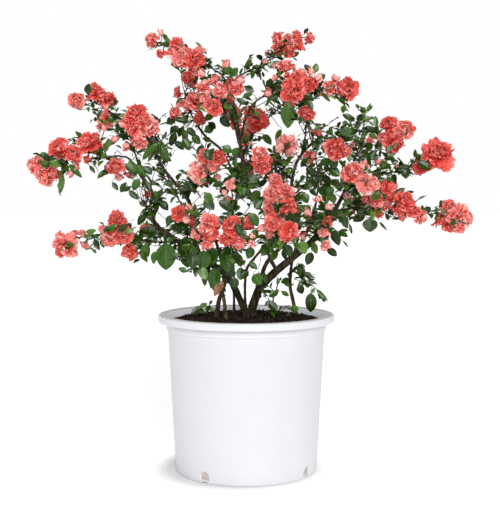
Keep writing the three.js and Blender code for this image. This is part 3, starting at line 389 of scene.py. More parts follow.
# Masses: each stem leaves the limb `on` at the share `from` of its length and follows `path`. Heads are
# blossoms as [column, row, depth, width in pixels], and "away" marks one that turns its back to the
# front. Small ones are [column, row, width]. Large leaves are [column, row] of the root and of the tip,
# the width, and for some the look and how far they hang before the stem: where none is given, the depth
# comes from the stem. Tufts counts the leafy twigs.
MASSES = {
    "far_left_spray": {
        "on": "left_fork", "from": 1, "tufts": 4, "reach": 50,
        "path": [[126, 157, -32], [104, 156, -40], [84, 152, -44], [60, 158, -46], [42, 165, -44]],
        "heads": [[34, 164, -40, 17], [45, 174, -48, 25], [58, 148, -56, 20], [74, 153, -62, 17],
          [89, 142, -58, 23], [115, 167, -60, 17]],
        "small": [[76, 166, 10], [87, 160, 9], [119, 177, 8], [129, 175, 10], [147, 195, 9], [104, 128, 6],
          [71, 173, 7]],
        "leaves": [[60, 166, 49, 162, 7, 2, 30], [50, 168, 39, 160, 6, 1, 32],
          [52, 160, 44, 168, 5, 0, 32], [104, 166, 112, 172, 7], [102, 174, 110, 170, 6],
          [124, 164, 134, 170, 8], [130, 174, 138, 166, 7], [112, 182, 118, 190, 5], [68, 163, 82, 178, 6],
          [63, 172, 60, 195, 6], [89, 165, 95, 173, 4], [109, 168, 97, 179, 6], [94, 148, 103, 156, 8],
          [54, 161, 68, 164, 5], [108, 157, 120, 160, 5]],
    },
    "upper_left_spray": {
        "on": "left_fork", "from": 0.85, "tufts": 3, "reach": 48,
        "path": [[133, 146, 6], [124, 124, 40], [111, 112, 56], [98, 104, 64], [84, 99, 66]],
        "heads": [[76, 100, 66, 18], [95, 91, 50, 20], [108, 98, 62, 18], [104, 120, 46, 21]],
        "small": [[99, 128, 9], [112, 103, 10]],
        "leaves": [[88, 95, 87, 83, 8, 0, 26], [103, 112, 97, 118, 7, 0, 26],
          [108, 116, 113, 122, 6, 1, 26]],
    },
    "upper_left_flowers": {
        "on": "inner_left_bough", "from": 1, "tufts": 4, "reach": 50,
        "path": [[156, 155, 14], [149, 140, -22], [141, 126, -48]],
        "heads": [[136, 115, -58, 23], [149, 127, -60, 21], [133, 128, -64, 18], [142, 120, -70, 16],
          [140, 143, -66, 14]],
        "small": [[133, 140, 12], [115, 139, 7], [126, 146, 8], [123, 124, 8]],
    },
    "lower_left_spray": {
        "on": "left_trunk", "from": 0.92, "tufts": 4, "reach": 50,
        "path": [[158, 242, -36], [140, 239, -60], [120, 230, -76], [100, 234, -84], [83, 236, -86],
          [66, 242, -84]],
        "heads": [[64, 247, -84, 24], [117, 220, -88, 18], [109, 238, -100, 17], [124, 236, -96, 17],
          [128, 252, -72, 16]],
        "small": [[73, 234, 11], [85, 245, 12], [82, 233, 9], [102, 229, 9]],
        "leaves": [[108, 232, 116, 224, 6, 1, 30], [118, 231, 127, 225, 6, 0, 30],
          [124, 233, 133, 229, 5, 2, 30], [112, 226, 103, 231, 5, 0, 30], [75, 243, 64, 247, 7, 1, 28],
          [70, 248, 62, 243, 4, 0, 28], [83, 236, 95, 229, 7], [94, 238, 99, 250, 6],
          [101, 239, 104, 248, 5], [68, 240, 76, 250, 5]],
    },
    "left_leaves": {
        "on": "left_fork", "from": 0.46, "tufts": 6, "reach": 50,
        "path": [[150, 208, -56], [146, 206, -96]],
        "heads": [],
        "leaves": [[128, 190, 138, 199, 6], [144, 166, 152, 174, 7], [128, 160, 136, 172, 8],
          [136, 164, 146, 176, 8], [140, 178, 132, 190, 8], [126, 182, 120, 192, 6],
          [146, 180, 150, 192, 6], [132, 186, 122, 192, 5], [141, 162, 159, 140, 8],
          [160, 143, 168, 162, 9], [147, 214, 136, 224, 8], [160, 200, 168, 210, 8],
          [170, 226, 184, 230, 9]],
    },
    "left_heart": {
        "on": "left_trunk", "from": 0.74, "tufts": 4, "reach": 50,
        "path": [[188, 237, -50], [184, 222, -100]],
        "heads": [[179, 214, -112, 15]],
        "small": [[193, 222, 9], [188, 208, 8]],
        "leaves": [[204, 192, 212, 202, 8], [212, 197, 204, 208, 8], [191, 226, 171, 218, 10],
          [172, 214, 166, 226, 7], [200, 214, 186, 206, 7]],
    },
    "hanging_leaves": {
        "on": "left_trunk", "from": 0.85, "tufts": 2, "reach": 46,
        "path": [[172, 247, -36], [166, 249, -52]],
        "heads": [],
        "leaves": [[166, 240, 166, 271, 20], [180, 238, 189, 268, 14], [158, 232, 139, 231, 10],
          [148, 242, 142, 260, 10], [156, 250, 152, 264, 7]],
    },
    "front_left_flowers": {
        "on": "left_stem", "from": 1, "tufts": 4, "reach": 50,
        "path": [[210, 232, -110], [207, 224, -150]],
        "heads": [[208, 225, -166, 19], [211, 236, -160, 14], [195, 235, -150, 12], [207, 245, -158, 12]],
        "small": [[213, 251, 9], [200, 237, 11], [187, 219, 8]],
        "leaves": [[206, 200, 214, 210, 8], [217, 216, 229, 225, 9], [198, 247, 190, 256, 8],
          [213, 205, 205, 196, 8]],
    },
    "front_middle_flowers": {
        "on": "left_stem", "from": 0.8, "tufts": 4, "reach": 50,
        "path": [[230, 244, -96], [234, 232, -150]],
        "heads": [[231, 226, -168, 18], [227, 240, -160, 14], [238, 243, -158, 13], [250, 222, -150, 13],
          [261, 228, -166, 8], [252, 236, -168, 6], [252, 243, -168, 7]],
        "small": [[233, 237, 9]],
        "leaves": [[236, 222, 241, 236, 7, 0, 26], [250, 212, 258, 226, 9], [257, 228, 252, 241, 8],
          [244, 236, 256, 244, 8], [222, 247, 213, 256, 8]],
    },
    "left_low_leaves": {
        "on": "pale_stem", "from": 1, "tufts": 4, "reach": 50,
        "path": [[206, 262, -92], [192, 258, -112]],
        "heads": [],
        "leaves": [[214, 246, 210, 266, 13], [226, 262, 232, 278, 10], [200, 266, 206, 280, 9],
          [238, 250, 232, 264, 9], [246, 268, 240, 280, 7], [204, 248, 203, 271, 14],
          [192, 250, 193, 270, 10], [225, 248, 229, 272, 16], [233, 276, 236, 289, 9],
          [217, 264, 212, 291, 13, 1, 8], [225, 280, 213, 296, 8, 4, 10], [238, 252, 240, 268, 8],
          [206, 268, 204, 286, 7], [241, 266, 240, 280, 8]],
    },
    "centre_left_flowers": {
        "on": "inner_left_bough", "from": 0.6, "tufts": 4, "reach": 50,
        "path": [[194, 184, -10], [203, 170, -66], [210, 160, -106]],
        "heads": [[197, 171, -90, 21, "away"], [205, 155, -112, 14], [219, 158, -118, 15],
          [213, 165, -104, 13]],
        "small": [[217, 178, 8], [204, 180, 9], [191, 181, 7], [203, 167, 8]],
        "leaves": [[203, 149, 212, 160, 8, 0, 30], [214, 148, 207, 157, 6, 0, 30],
          [192, 168, 200, 174, 5, 0, 30], [222, 146, 232, 152, 8], [232, 156, 238, 148, 7],
          [190, 187, 177, 189, 7], [201, 181, 209, 187, 5], [190, 190, 182, 199, 7]],
    },
    "centre_flowers": {
        "on": "upper_left_bough", "from": 0.3, "tufts": 6, "reach": 54,
        "path": [[238, 186, -30], [236, 184, -90], [232, 182, -140]],
        "heads": [[230, 184, -158, 10]],
        "small": [[224, 192, 6]],
        "leaves": [[257, 187, 267, 180, 7], [261, 178, 240, 189, 13], [261, 190, 250, 201, 10],
          [217, 200, 235, 210, 9], [225, 184, 212, 184, 7]],
    },
    "top_left_spray": {
        "on": "top_bough", "from": 1, "tufts": 4, "reach": 46,
        "path": [[222, 75, -14], [212, 68, -28], [200, 60, -38], [180, 52, -48], [160, 44, -52]],
        "heads": [[151, 40, -54, 14], [182, 57, -60, 19], [195, 60, -66, 18], [178, 43, -58, 13],
          [199, 50, -60, 12]],
        "small": [[161, 33, 6], [160, 54, 10], [171, 52, 9], [188, 50, 9], [195, 71, 9]],
    },
    "top_left_flowers": {
        "on": "upper_left_bough", "from": 1, "tufts": 4, "reach": 50,
        "path": [[190, 112, 30], [185, 98, 58], [188, 84, 76]],
        "heads": [[190, 78, 60, 17], [174, 113, 16, 14], [196, 100, 14, 21], [200, 119, 4, 13]],
        "small": [[177, 93, 12], [182, 104, 11], [187, 107, 10], [223, 93, 8]],
        "leaves": [[166, 124, 176, 118, 8], [170, 134, 178, 126, 8], [204, 132, 214, 126, 9],
          [208, 122, 216, 128, 7], [202, 138, 212, 140, 6], [176, 132, 170, 146, 8],
          [182, 138, 190, 150, 9], [192, 134, 200, 144, 8], [174, 141, 184, 149, 7],
          [191, 122, 174, 119, 7], [184, 126, 177, 136, 7], [186, 127, 196, 136, 7],
          [184, 125, 184, 115, 6], [184, 128, 186, 142, 7]],
    },
    "top_middle_flowers": {
        "on": "top_bough", "from": 0.45, "tufts": 3, "reach": 48,
        "path": [[228, 104, -24], [222, 96, -76], [220, 92, -100]],
        "heads": [[221, 90, -116, 15], [235, 86, -84, 18], [203, 86, -98, 13], [213, 80, -100, 12],
          [214, 106, -124, 16], [206, 98, -116, 12]],
        "small": [[226, 64, 8], [202, 73, 8], [230, 101, 9], [240, 80, 8]],
        "leaves": [[222, 66, 232, 72, 8], [230, 76, 238, 68, 7], [220, 115, 229, 127, 9],
          [236, 98, 246, 104, 6], [214, 113, 205, 120, 7]],
    },
    "top_right_spray": {
        "on": "top_bough", "from": 0.85, "tufts": 3, "reach": 46,
        "path": [[240, 76, 26], [255, 68, 38], [270, 60, 44], [282, 54, 46], [286, 38, 46]],
        "heads": [[277, 38, 42, 14], [278, 47, 38, 13], [289, 50, 34, 15]],
        "small": [[288, 38, 12], [297, 36, 13], [299, 46, 12], [310, 38, 13], [267, 54, 6], [265, 62, 7],
          [274, 66, 7], [283, 44, 10], [289, 43, 10]],
    },
    "upper_right_flowers": {
        "on": "middle_stem", "from": 0.96, "tufts": 3, "reach": 50,
        "path": [[250, 108, -10], [266, 95, -52], [284, 85, -84], [294, 83, -100]],
        "heads": [[286, 66, -84, 16], [294, 90, -116, 22], [311, 84, -98, 15], [297, 77, -100, 15],
          [288, 84, -110, 13]],
        "small": [[290, 96, 12], [303, 72, 11], [318, 78, 8], [268, 93, 8], [275, 78, 6], [303, 80, 10],
          [287, 75, 9], [311, 71, 7]],
        "leaves": [[304, 96, 313, 110, 7], [303, 95, 313, 98, 6], [280, 95, 268, 100, 6],
          [244, 86, 254, 92, 7], [242, 98, 252, 92, 6]],
    },
    "crown_centre": {
        "on": "middle_stem", "from": 0.86, "tufts": 3, "reach": 50,
        "path": [[256, 130, 78], [270, 116, 76], [284, 104, 64]],
        "heads": [[255, 119, 66, 25], [249, 111, 64, 13]],
        "small": [[243, 146, 5], [250, 144, 5]],
        "leaves": [[282, 128, 274, 142, 7], [288, 101, 288, 128, 16], [271, 78, 268, 88, 8],
          [276, 80, 279, 92, 10], [250, 138, 240, 146, 8], [262, 134, 272, 144, 8]],
    },
    "upper_right_spray": {
        "on": "right_upper_bough", "from": 0.93, "tufts": 4, "reach": 50,
        "path": [[312, 130, 46], [301, 115, 54], [299, 100, 62], [310, 87, 68], [328, 84, 74],
          [344, 87, 78]],
        "heads": [[348, 88, 70, 22]],
        "small": [[330, 86, 13], [336, 79, 8], [321, 94, 9], [329, 94, 7], [339, 91, 7]],
        "leaves": [[312, 74, 305, 64, 7], [314, 74, 317, 63, 7], [318, 80, 325, 74, 7],
          [310, 80, 303, 76, 5], [320, 92, 331, 101, 5], [316, 98, 304, 101, 6]],
    },
    "right_upper_flowers": {
        "on": "right_upper_bough", "from": 0.74, "tufts": 4, "reach": 50,
        "path": [[306, 132, -6], [306, 120, -50]],
        "heads": [[307, 112, -62, 15]],
        "small": [[318, 132, 10]],
    },
    "right_middle_flowers": {
        "on": "right_upper_bough", "from": 1, "tufts": 4, "reach": 50,
        "path": [[330, 142, 0], [342, 146, -40], [346, 144, -64]],
        "heads": [[334, 149, -36, 21], [347, 151, -50, 12]],
        "small": [[314, 155, 8]],
        "leaves": [[319, 165, 331, 158, 9], [328, 168, 340, 176, 10], [322, 140, 312, 146, 7]],
    },
    "leafy_shoot": {
        "on": "right_bough", "from": 0.55, "tufts": 4, "reach": 46,
        "path": [[354, 162, 56], [362, 134, 90], [366, 110, 100]],
        "heads": [],
        "leaves": [[356, 122, 343, 113, 8], [358, 123, 361, 114, 7], [362, 127, 379, 133, 9],
          [352, 138, 337, 137, 6], [366, 112, 371, 103, 3], [366, 112, 360, 105, 3],
          [372, 143, 366, 152, 7], [362, 120, 372, 117, 6]],
    },
    "right_crown_spray": {
        "on": "right_bough", "from": 0.76, "tufts": 4, "reach": 50,
        "path": [[366, 162, 20], [380, 148, 36], [396, 132, 46]],
        "heads": [[389, 124, 40, 17], [406, 129, 44, 20], [394, 143, 30, 22], [384, 137, 44, 14],
          [399, 134, 34, 16]],
        "small": [[370, 140, 10], [352, 145, 6], [363, 153, 6], [367, 154, 5]],
        "leaves": [[382, 153, 389, 157, 4], [376, 150, 368, 157, 6]],
    },
    "far_right_spray": {
        "on": "right_bough", "from": 1, "tufts": 4, "reach": 50,
        "path": [[366, 176, -16], [384, 173, -24], [404, 171, -30], [422, 166, -32], [436, 157, -32]],
        "heads": [[438, 153, -44, 30], [422, 165, -36, 16], [450, 163, -36, 13], [428, 148, -26, 12]],
        "small": [[417, 162, 8], [378, 162, 7], [397, 167, 5], [419, 171, 9]],
        "leaves": [[431, 170, 419, 160, 10, 0, 28], [416, 153, 421, 160, 6, 0, 20],
          [405, 168, 406, 179, 8], [389, 164, 381, 168, 4], [396, 162, 389, 157, 5]],
    },
    "right_front_flowers": {
        "on": "right_bough", "from": 0.58, "tufts": 3, "reach": 52,
        "path": [[358, 188, -76], [370, 192, -134]],
        "heads": [[352, 172, -110, 21], [371, 184, -154, 21, "away"], [389, 187, -138, 15]],
        "small": [[365, 165, 10], [347, 196, 8]],
        "leaves": [[386, 178, 393, 181, 4], [380, 192, 372, 199, 8]],
    },
    "lower_right_spray": {
        "on": "right_bough", "from": 0.35, "tufts": 4, "reach": 50,
        "path": [[354, 208, -40], [374, 209, -58], [396, 208, -72], [416, 209, -82], [436, 212, -86],
          [452, 212, -86]],
        "heads": [[463, 218, -90, 25], [449, 206, -86, 14], [450, 226, -98, 14], [438, 223, -84, 11],
          [406, 201, -84, 20], [400, 209, -92, 14], [414, 212, -96, 13], [443, 220, -96, 12],
          [376, 200, -108, 14], [367, 200, -104, 11]],
        "small": [[392, 199, 11], [379, 214, 12], [403, 217, 12], [422, 217, 13], [386, 206, 11]],
        "leaves": [[366, 213, 353, 221, 9], [370, 217, 370, 232, 15], [378, 221, 388, 230, 3],
          [434, 219, 444, 213, 6], [394, 195, 405, 188, 6], [405, 193, 414, 192, 4],
          [428, 213, 430, 207, 4], [435, 213, 437, 208, 4]],
    },
    "right_heart": {
        "on": "right_trunk", "from": 0.95, "tufts": 5, "reach": 54,
        "path": [[326, 228, -76], [331, 214, -126]],
        "heads": [[327, 222, -132, 11], [324, 233, -130, 11], [326, 246, -128, 11]],
        "small": [[308, 213, 8], [309, 220, 8], [309, 228, 7], [303, 235, 8], [329, 207, 8], [318, 199, 7]],
        "leaves": [[312, 241, 317, 254, 7], [342, 214, 348, 228, 8], [326, 248, 337, 256, 8],
          [315, 226, 320, 242, 9], [330, 230, 340, 245, 11], [349, 223, 352, 234, 3],
          [342, 240, 349, 247, 2], [312, 251, 307, 265, 9]],
    },
    "centre_right_flowers": {
        "on": "right_inner_bough", "from": 0.93, "tufts": 4, "reach": 50,
        "path": [[284, 208, -10], [280, 198, -64], [278, 194, -96]],
        "heads": [[275, 180, -100, 14], [287, 191, -104, 15], [271, 193, -108, 15], [274, 206, -112, 21],
          [289, 208, -118, 16]],
        "small": [[294, 205, 10]],
        "leaves": [[302, 192, 308, 203, 8], [303, 205, 312, 211, 7], [262, 200, 254, 208, 8],
          [297, 205, 306, 212, 7]],
    },
    "low_centre_flowers": {
        "on": "front_bough", "from": 1, "tufts": 4, "reach": 52,
        "path": [[270, 234, -146], [280, 228, -180]],
        "heads": [[272, 223, -190, 16], [290, 233, -184, 18]],
        "small": [[269, 234, 10], [282, 222, 9]],
        "leaves": [[252, 246, 248, 259, 9], [277, 249, 272, 261, 7], [300, 240, 306, 254, 10],
          [284, 244, 292, 256, 9], [268, 246, 262, 256, 8], [253, 273, 261, 285, 11],
          [249, 262, 257, 269, 6], [249, 271, 242, 279, 6], [263, 243, 275, 252, 8],
          [282, 240, 272, 247, 8]],
    },
    "upper_centre_flowers": {
        "on": "right_upper_bough", "from": 0.42, "tufts": 3, "reach": 52,
        "path": [[280, 168, -20], [268, 162, -76], [262, 158, -104]],
        "heads": [[261, 154, -116, 16], [262, 167, -112, 16], [288, 144, -50, 21, "away"]],
        "small": [[268, 160, 10]],
    },
    "right_inner_spray": {
        "on": "right_upper_bough", "from": 0.22, "tufts": 5, "reach": 46,
        "path": [[301, 188, 26], [312, 178, -2], [324, 172, -30]],
        "heads": [],
        "leaves": [[334, 204, 332, 193, 7], [322, 184, 332, 190, 8], [334, 186, 326, 196, 8],
          [330, 180, 340, 186, 8], [322, 196, 334, 190, 8], [306, 166, 314, 176, 8],
          [312, 178, 306, 190, 8], [320, 176, 332, 182, 9], [330, 168, 338, 160, 8],
          [318, 186, 326, 196, 8], [334, 180, 340, 192, 8], [308, 158, 300, 166, 6]],
    },
    "right_low_leaves": {
        "on": "right_stem", "from": 0.55, "tufts": 1, "reach": 50,
        "path": [[299, 274, 20], [308, 276, -6]],
        "heads": [],
        "leaves": [[298, 262, 304, 280, 9], [298, 284, 303, 294, 8], [310, 291, 312, 313, 12],
          [315, 288, 328, 301, 4], [307, 280, 317, 284, 3], [290, 278, 281, 283, 6]],
    },
    "low_shoot": {
        "tufts": 3, "reach": 44,
        "path": [[269, 317, -26], [272, 303, -28], [276, 290, -28], [281, 277, -28]],
        "heads": [],
        "leaves": [[279, 291, 269, 297, 7], [281, 291, 289, 296, 5], [268, 302, 278, 311, 9],
          [270, 300, 265, 306, 4]],
    },
    "back_crown": {
        "on": "middle_stem", "from": 0.72, "tufts": 4, "reach": 54,
        "path": [[246, 168, 92], [238, 140, 136], [232, 118, 160]],
        "heads": [[232, 112, 170, 20], [224, 104, 158, 15], [243, 134, 150, 16], [236, 124, 176, 13]],
    },
    "back_left_crown": {
        "on": "back_left_bough", "from": 1, "tufts": 3, "reach": 54,
        "path": [[172, 186, 166], [160, 160, 184], [150, 140, 184]],
        "heads": [[148, 136, 192, 20], [138, 130, 184, 16], [151, 149, 200, 14]],
    },
    "back_left_spray": {
        "on": "back_left_bough", "from": 0.8, "tufts": 3, "reach": 54,
        "path": [[168, 230, 140], [148, 236, 162], [128, 238, 160]],
        "heads": [[120, 236, 164, 20], [132, 240, 174, 15], [146, 230, 172, 14], [112, 229, 150, 13]],
    },
    "back_middle_spray": {
        "on": "back_stem", "from": 1, "tufts": 3, "reach": 56,
        "path": [[232, 214, 186], [238, 190, 222], [246, 176, 244]],
        "heads": [[246, 168, 256, 20], [236, 186, 242, 16], [253, 181, 250, 14], [228, 202, 206, 14]],
    },
    "back_right_crown": {
        "on": "back_right_bough", "from": 1, "tufts": 3, "reach": 54,
        "path": [[318, 174, 172], [312, 144, 188], [304, 112, 186]],
        "heads": [[299, 94, 190, 20], [292, 86, 184, 14], [288, 104, 182, 15], [309, 157, 192, 14]],
    },
    "back_right_spray": {
        "on": "back_right_bough", "from": 0.8, "tufts": 4, "reach": 54,
        "path": [[338, 214, 140], [362, 204, 156], [384, 190, 150]],
        "heads": [[390, 186, 154, 20], [378, 197, 164, 15], [364, 206, 170, 14], [388, 197, 142, 13],
          [350, 212, 156, 12]],
    },
    "back_low_spray": {
        "on": "right_stem", "from": 1, "tufts": 4, "reach": 54,
        "path": [[296, 226, 126], [290, 212, 178], [288, 204, 212]],
        "heads": [[286, 202, 226, 18], [279, 213, 212, 15], [294, 212, 222, 14], [275, 203, 200, 12]],
    },
}

# Open sky between the sprays, as [column, row, radius] of round gaps in the picture: no leaf there
SKY = [
    [115, 55, 30], [152, 75, 16], [172, 78, 9], [128, 92, 8], [157, 100, 7], [160, 18, 12],
    [190, 20, 16], [213, 45, 9], [235, 38, 22], [260, 45, 6], [262, 20, 9], [300, 15, 12],
    [338, 55, 25], [385, 78, 24], [380, 108, 8], [440, 115, 22], [458, 135, 8], [478, 178, 18],
    [60, 120, 14], [20, 130, 22], [40, 148, 6], [68, 130, 6], [85, 198, 17], [40, 200, 18],
    [118, 202, 10], [127, 207, 9], [30, 215, 18], [60, 224, 8], [75, 217, 9], [92, 220, 7],
    [80, 278, 25], [112, 268, 18], [150, 290, 28], [170, 293, 20], [151, 251, 5], [161, 222, 5],
    [166, 212, 5], [182, 157, 9], [172, 172, 6], [207, 193, 7], [214, 133, 6], [230, 140, 9],
    [232, 85, 5], [254, 85, 8], [262, 102, 6], [274, 124, 8], [299, 127, 7], [318, 115, 8],
    [330, 110, 11], [232, 195, 5], [243, 203, 4], [238, 214, 4], [340, 203, 4], [409, 150, 5],
    [425, 183, 12], [433, 199, 6], [430, 237, 10], [405, 250, 28], [362, 248, 18], [362, 272, 20],
    [335, 275, 18], [243, 256, 4], [263, 256, 7], [253, 266, 5], [266, 265, 4], [278, 263, 4],
    [250, 292, 7], [272, 291, 6], [286, 290, 5], [281, 300, 5], [468, 152, 9], [183, 90, 6],
    [228, 128, 9], [312, 136, 5], [170, 166, 6], [324, 108, 6],
    [174, 28, 8], [78, 80, 7], [402, 110, 8], [437, 177, 8], [448, 188, 7], [279, 19, 7], [421, 131, 6],
    [190, 41, 5],
]

# Small shoots that rise from the soil: [column, row, depth] points, and leaves as above
SPROUTS = [
    {"path": [[197, 317, -20], [196, 310, -22], [201, 306, -24]],
     "leaves": [[203, 306, 191, 314, 8], [199, 307, 207, 303, 5], [201, 308, 204, 314, 4]]},
    {"path": [[211, 317, -10], [211, 309, -12], [209, 304, -14]],
     "leaves": [[210, 305, 206, 312, 5], [210, 307, 214, 311, 4], [209, 304, 213, 301, 4]]},
    {"path": [[291, 317, 10], [293, 313, 8]],
     "leaves": [[292, 314, 286, 318, 5], [292, 313, 298, 309, 4]]},
]


# Points, ways and lines
def vector(*values):
    return np.array(values, dtype=float)


def unit(way):
    return way / np.linalg.norm(way)


def lerp(low, high, share):
    return low + (high - low) * share


def place(spot):
    """The point that shows at a column and row of the picture, at a depth behind the pot's axis."""
    column, row, depth = spot
    across = (column - PICTURE["middle_column"]) / PICTURE["focal_pixels"]
    down = (row - PICTURE["middle_row"]) / PICTURE["focal_pixels"]
    ahead = math.cos(CAMERA["pitch"]) - down * math.sin(CAMERA["pitch"])
    sink = down * math.cos(CAMERA["pitch"]) + math.sin(CAMERA["pitch"])
    far = (CAMERA["back"] + depth) / ahead
    return vector(CAMERA["side"] + far * across, depth, CAMERA["up"] - far * sink)


def shown_at(points):
    """The columns and rows of the picture where points show."""
    ways = np.atleast_2d(points) - vector(CAMERA["side"], -CAMERA["back"], CAMERA["up"])
    sine, cosine = math.sin(CAMERA["pitch"]), math.cos(CAMERA["pitch"])
    far = ways[:, 1] * cosine - ways[:, 2] * sine
    rise = ways[:, 1] * sine + ways[:, 2] * cosine
    columns = PICTURE["middle_column"] + PICTURE["focal_pixels"] * ways[:, 0] / far
    rows = PICTURE["middle_row"] - PICTURE["focal_pixels"] * rise / far
    return np.stack([columns, rows], axis=1)


def make_random(seed):
    """Seeded random numbers from 0 to 1, the same as the source draws."""
    word = 0xFFFFFFFF
    state = seed & word

    def draw():
        nonlocal state
        state = (state + 0x6D2B79F5) & word
        mixed = ((state ^ (state >> 15)) * (state | 1)) & word
        mixed = ((mixed + (((mixed ^ (mixed >> 7)) * (mixed | 61)) & word)) & word) ^ mixed
        return (mixed ^ (mixed >> 14)) / 2**32

    return draw


def between(random, low, high):
    return low + (high - low) * random()


def smooth(points, steps):
    """A smooth line through the points, in the given number of steps from each to the next."""
    line = []
    for i in range(len(points) - 1):
        before, start = points[max(i - 1, 0)], points[i]
        end, after = points[i + 1], points[min(i + 2, len(points) - 1)]
        for step in range(steps):
            t = step / steps
            spot = start * (2 - 5 * t**2 + 3 * t**3) + before * (-t + 2 * t**2 - t**3)
            line.append((spot + end * (t + 4 * t**2 - 3 * t**3) + after * (t**3 - t**2)) / 2)
    line.append(points[-1])
    return np.array(line)


def line_length(line):
    return np.linalg.norm(np.diff(line, axis=0), axis=1).sum()


def along(line, share):
    """The point at a share of a line's length, with the line's direction there."""
    lengths = np.linalg.norm(np.diff(line, axis=0), axis=1)
    left = share * lengths.sum()
    i = 0
    while i < len(lengths) - 1 and left > lengths[i]:
        left -= lengths[i]
        i += 1
    heading = unit(line[i + 1] - line[i])
    return line[i] + heading * left, heading


def segments(lines):
    """The starts and the ways of all stretches of some lines."""
    starts = np.concatenate([line[:-1] for line in lines])
    return starts, np.concatenate([np.diff(line, axis=0) for line in lines])


def distances(point, starts, ways):
    """How far a point is from each stretch."""
    gaps = point - starts
    shares = np.clip((gaps * ways).sum(1) / (ways * ways).sum(1), 0, 1)
    return np.linalg.norm(gaps - shares[:, None] * ways, axis=1)


def sideways(heading):
    """A level direction square to the heading, or one square to +X for a steep heading."""
    other = vector(1, 0, 0) if abs(heading[2]) > STEEP else vector(0, 0, 1)
    return unit(np.cross(other, heading))


def square_ways(heading):
    """Two directions square to a heading and to each other, the first of them from sideways."""
    across = sideways(heading)
    return across, np.cross(heading, across)


def round_way(ahead, across, up, turn):
    """A way that leans out at a turn round the way ahead."""
    return ahead + across * math.cos(turn) + up * math.sin(turn)


def drawn_vector(fine, ranges):
    """A vector with each number drawn from its range."""
    return vector(*(fine.uniform(low, high) for low, high in ranges))


def soil_height(point):
    share = (math.hypot(point[0], point[1]) - SOIL_PLATEAU) / (SOIL_RADIUS - SOIL_PLATEAU)
    return lerp(SOIL_TOP, SOIL_EDGE, max(0, share))


# Skeleton: limbs, and the stem of each mass with the spurs of its blossom
def limb_line(name):
    points = [place(spot) for spot in LIMBS[name]["path"]]
    if "on" not in LIMBS[name]:
        points[0][2] = soil_height(points[0]) - LIMB["sink"]
    return smooth(points, LIMB["steps"])


def limb_radius(name, share):
    return lerp(*LIMBS[name]["thick"], share) / 2


def wandering(line, amount, random):
    """The line with its inner points moved a little, as a twig bends at its buds."""
    moves = random.normal(0, amount, line.shape)
    moves[[0, -1]] = 0
    return line + moves


def head_facing(at, foot, away, random):
    """Which way a blossom opens: off its spur and out of the crown."""
    outwards = unit(at - vector(0, 0, HEART_HEIGHT))
    open_side = vector(0, 1 if at[1] > BACK_DEPTH else -1, 0)
    way = FACING["spur"] * unit(at - foot) + FACING["outwards"] * outwards
    way = way + FACING["open_side"] * open_side + random.normal(0, FACING["chance"], 3)
    if away:
        way = TURNED["outwards"] * outwards + TURNED["open_side"] * open_side
        way = way + vector(0, 0, TURNED["sink"]) + random.normal(0, TURNED["chance"], 3)
    return unit(way)


def beside_stem(column, row, depth, radius, starts, ways):
    """A head stands clear of its stem: it moves to the front or to the back until it does."""
    step = 1 if depth > BACK_DEPTH else -1
    while distances(place([column, row, depth]), starts, ways).min() < radius + STEM_CLEARANCE:
        depth += step
    return place([column, row, depth])


def spur_foot(point, stem):
    """Where a spur leaves the stem: the nearest of some spots along it."""
    shares = np.linspace(SPUR["first"], 1, SPUR["spots"])
    spots = [along(stem, share)[0] for share in shares]
    return min(spots, key=lambda spot: np.linalg.norm(spot - point))


def depth_at(column, row, line):
    """The depth of a line where it shows nearest to a column and row of the picture."""
    shown = shown_at(line)
    nearest = np.argmin(np.hypot(shown[:, 0] - column, shown[:, 1] - row))
    return line[nearest][1]


def head_spots(mass, stem, random):
    """Column, row, depth and width of a mass's blossoms; the small ones lie at about its stem's depth."""
    yield from mass["heads"]
    for column, row, width in mass.get("small", []):
        yield column, row, depth_at(column, row, stem) + random.uniform(*SMALL_DEPTHS), width


def mass_skeleton(name, limb_lines, random):
    mass = MASSES[name]
    points = [place(spot) for spot in mass["path"]]
    if "on" in mass:
        points.insert(0, along(limb_lines[mass["on"]], mass["from"])[0])
    else:
        points[0][2] = soil_height(points[0])
    stem = wandering(smooth(points, STEM["steps"]), STEM["wander"], random)
    starts, ways = segments([stem])
    heads = []
    for column, row, depth, width, *away in head_spots(mass, stem, random):
        radius = width * PIXEL / 2
        at = beside_stem(column, row, depth, radius, starts, ways)
        foot = spur_foot(at, stem)
        facing = head_facing(at, foot, bool(away), random)
        heads.append({"at": at, "radius": radius, "foot": foot, "facing": facing, "away": bool(away)})
    spurs = [np.array([head["foot"], head["at"]]) for head in heads]
    return {"stem": stem, "heads": heads, "lines": [stem, *spurs]}


def open_way(head):
    """Where no leaf stands before a blossom; one that turns its back has no such way."""
    if head["away"]:
        return vector(0, 0, 0)
    tilt = OPEN_TILT if head["at"][1] > BACK_DEPTH else -OPEN_TILT
    return unit(head["facing"] + vector(0, tilt, 0))


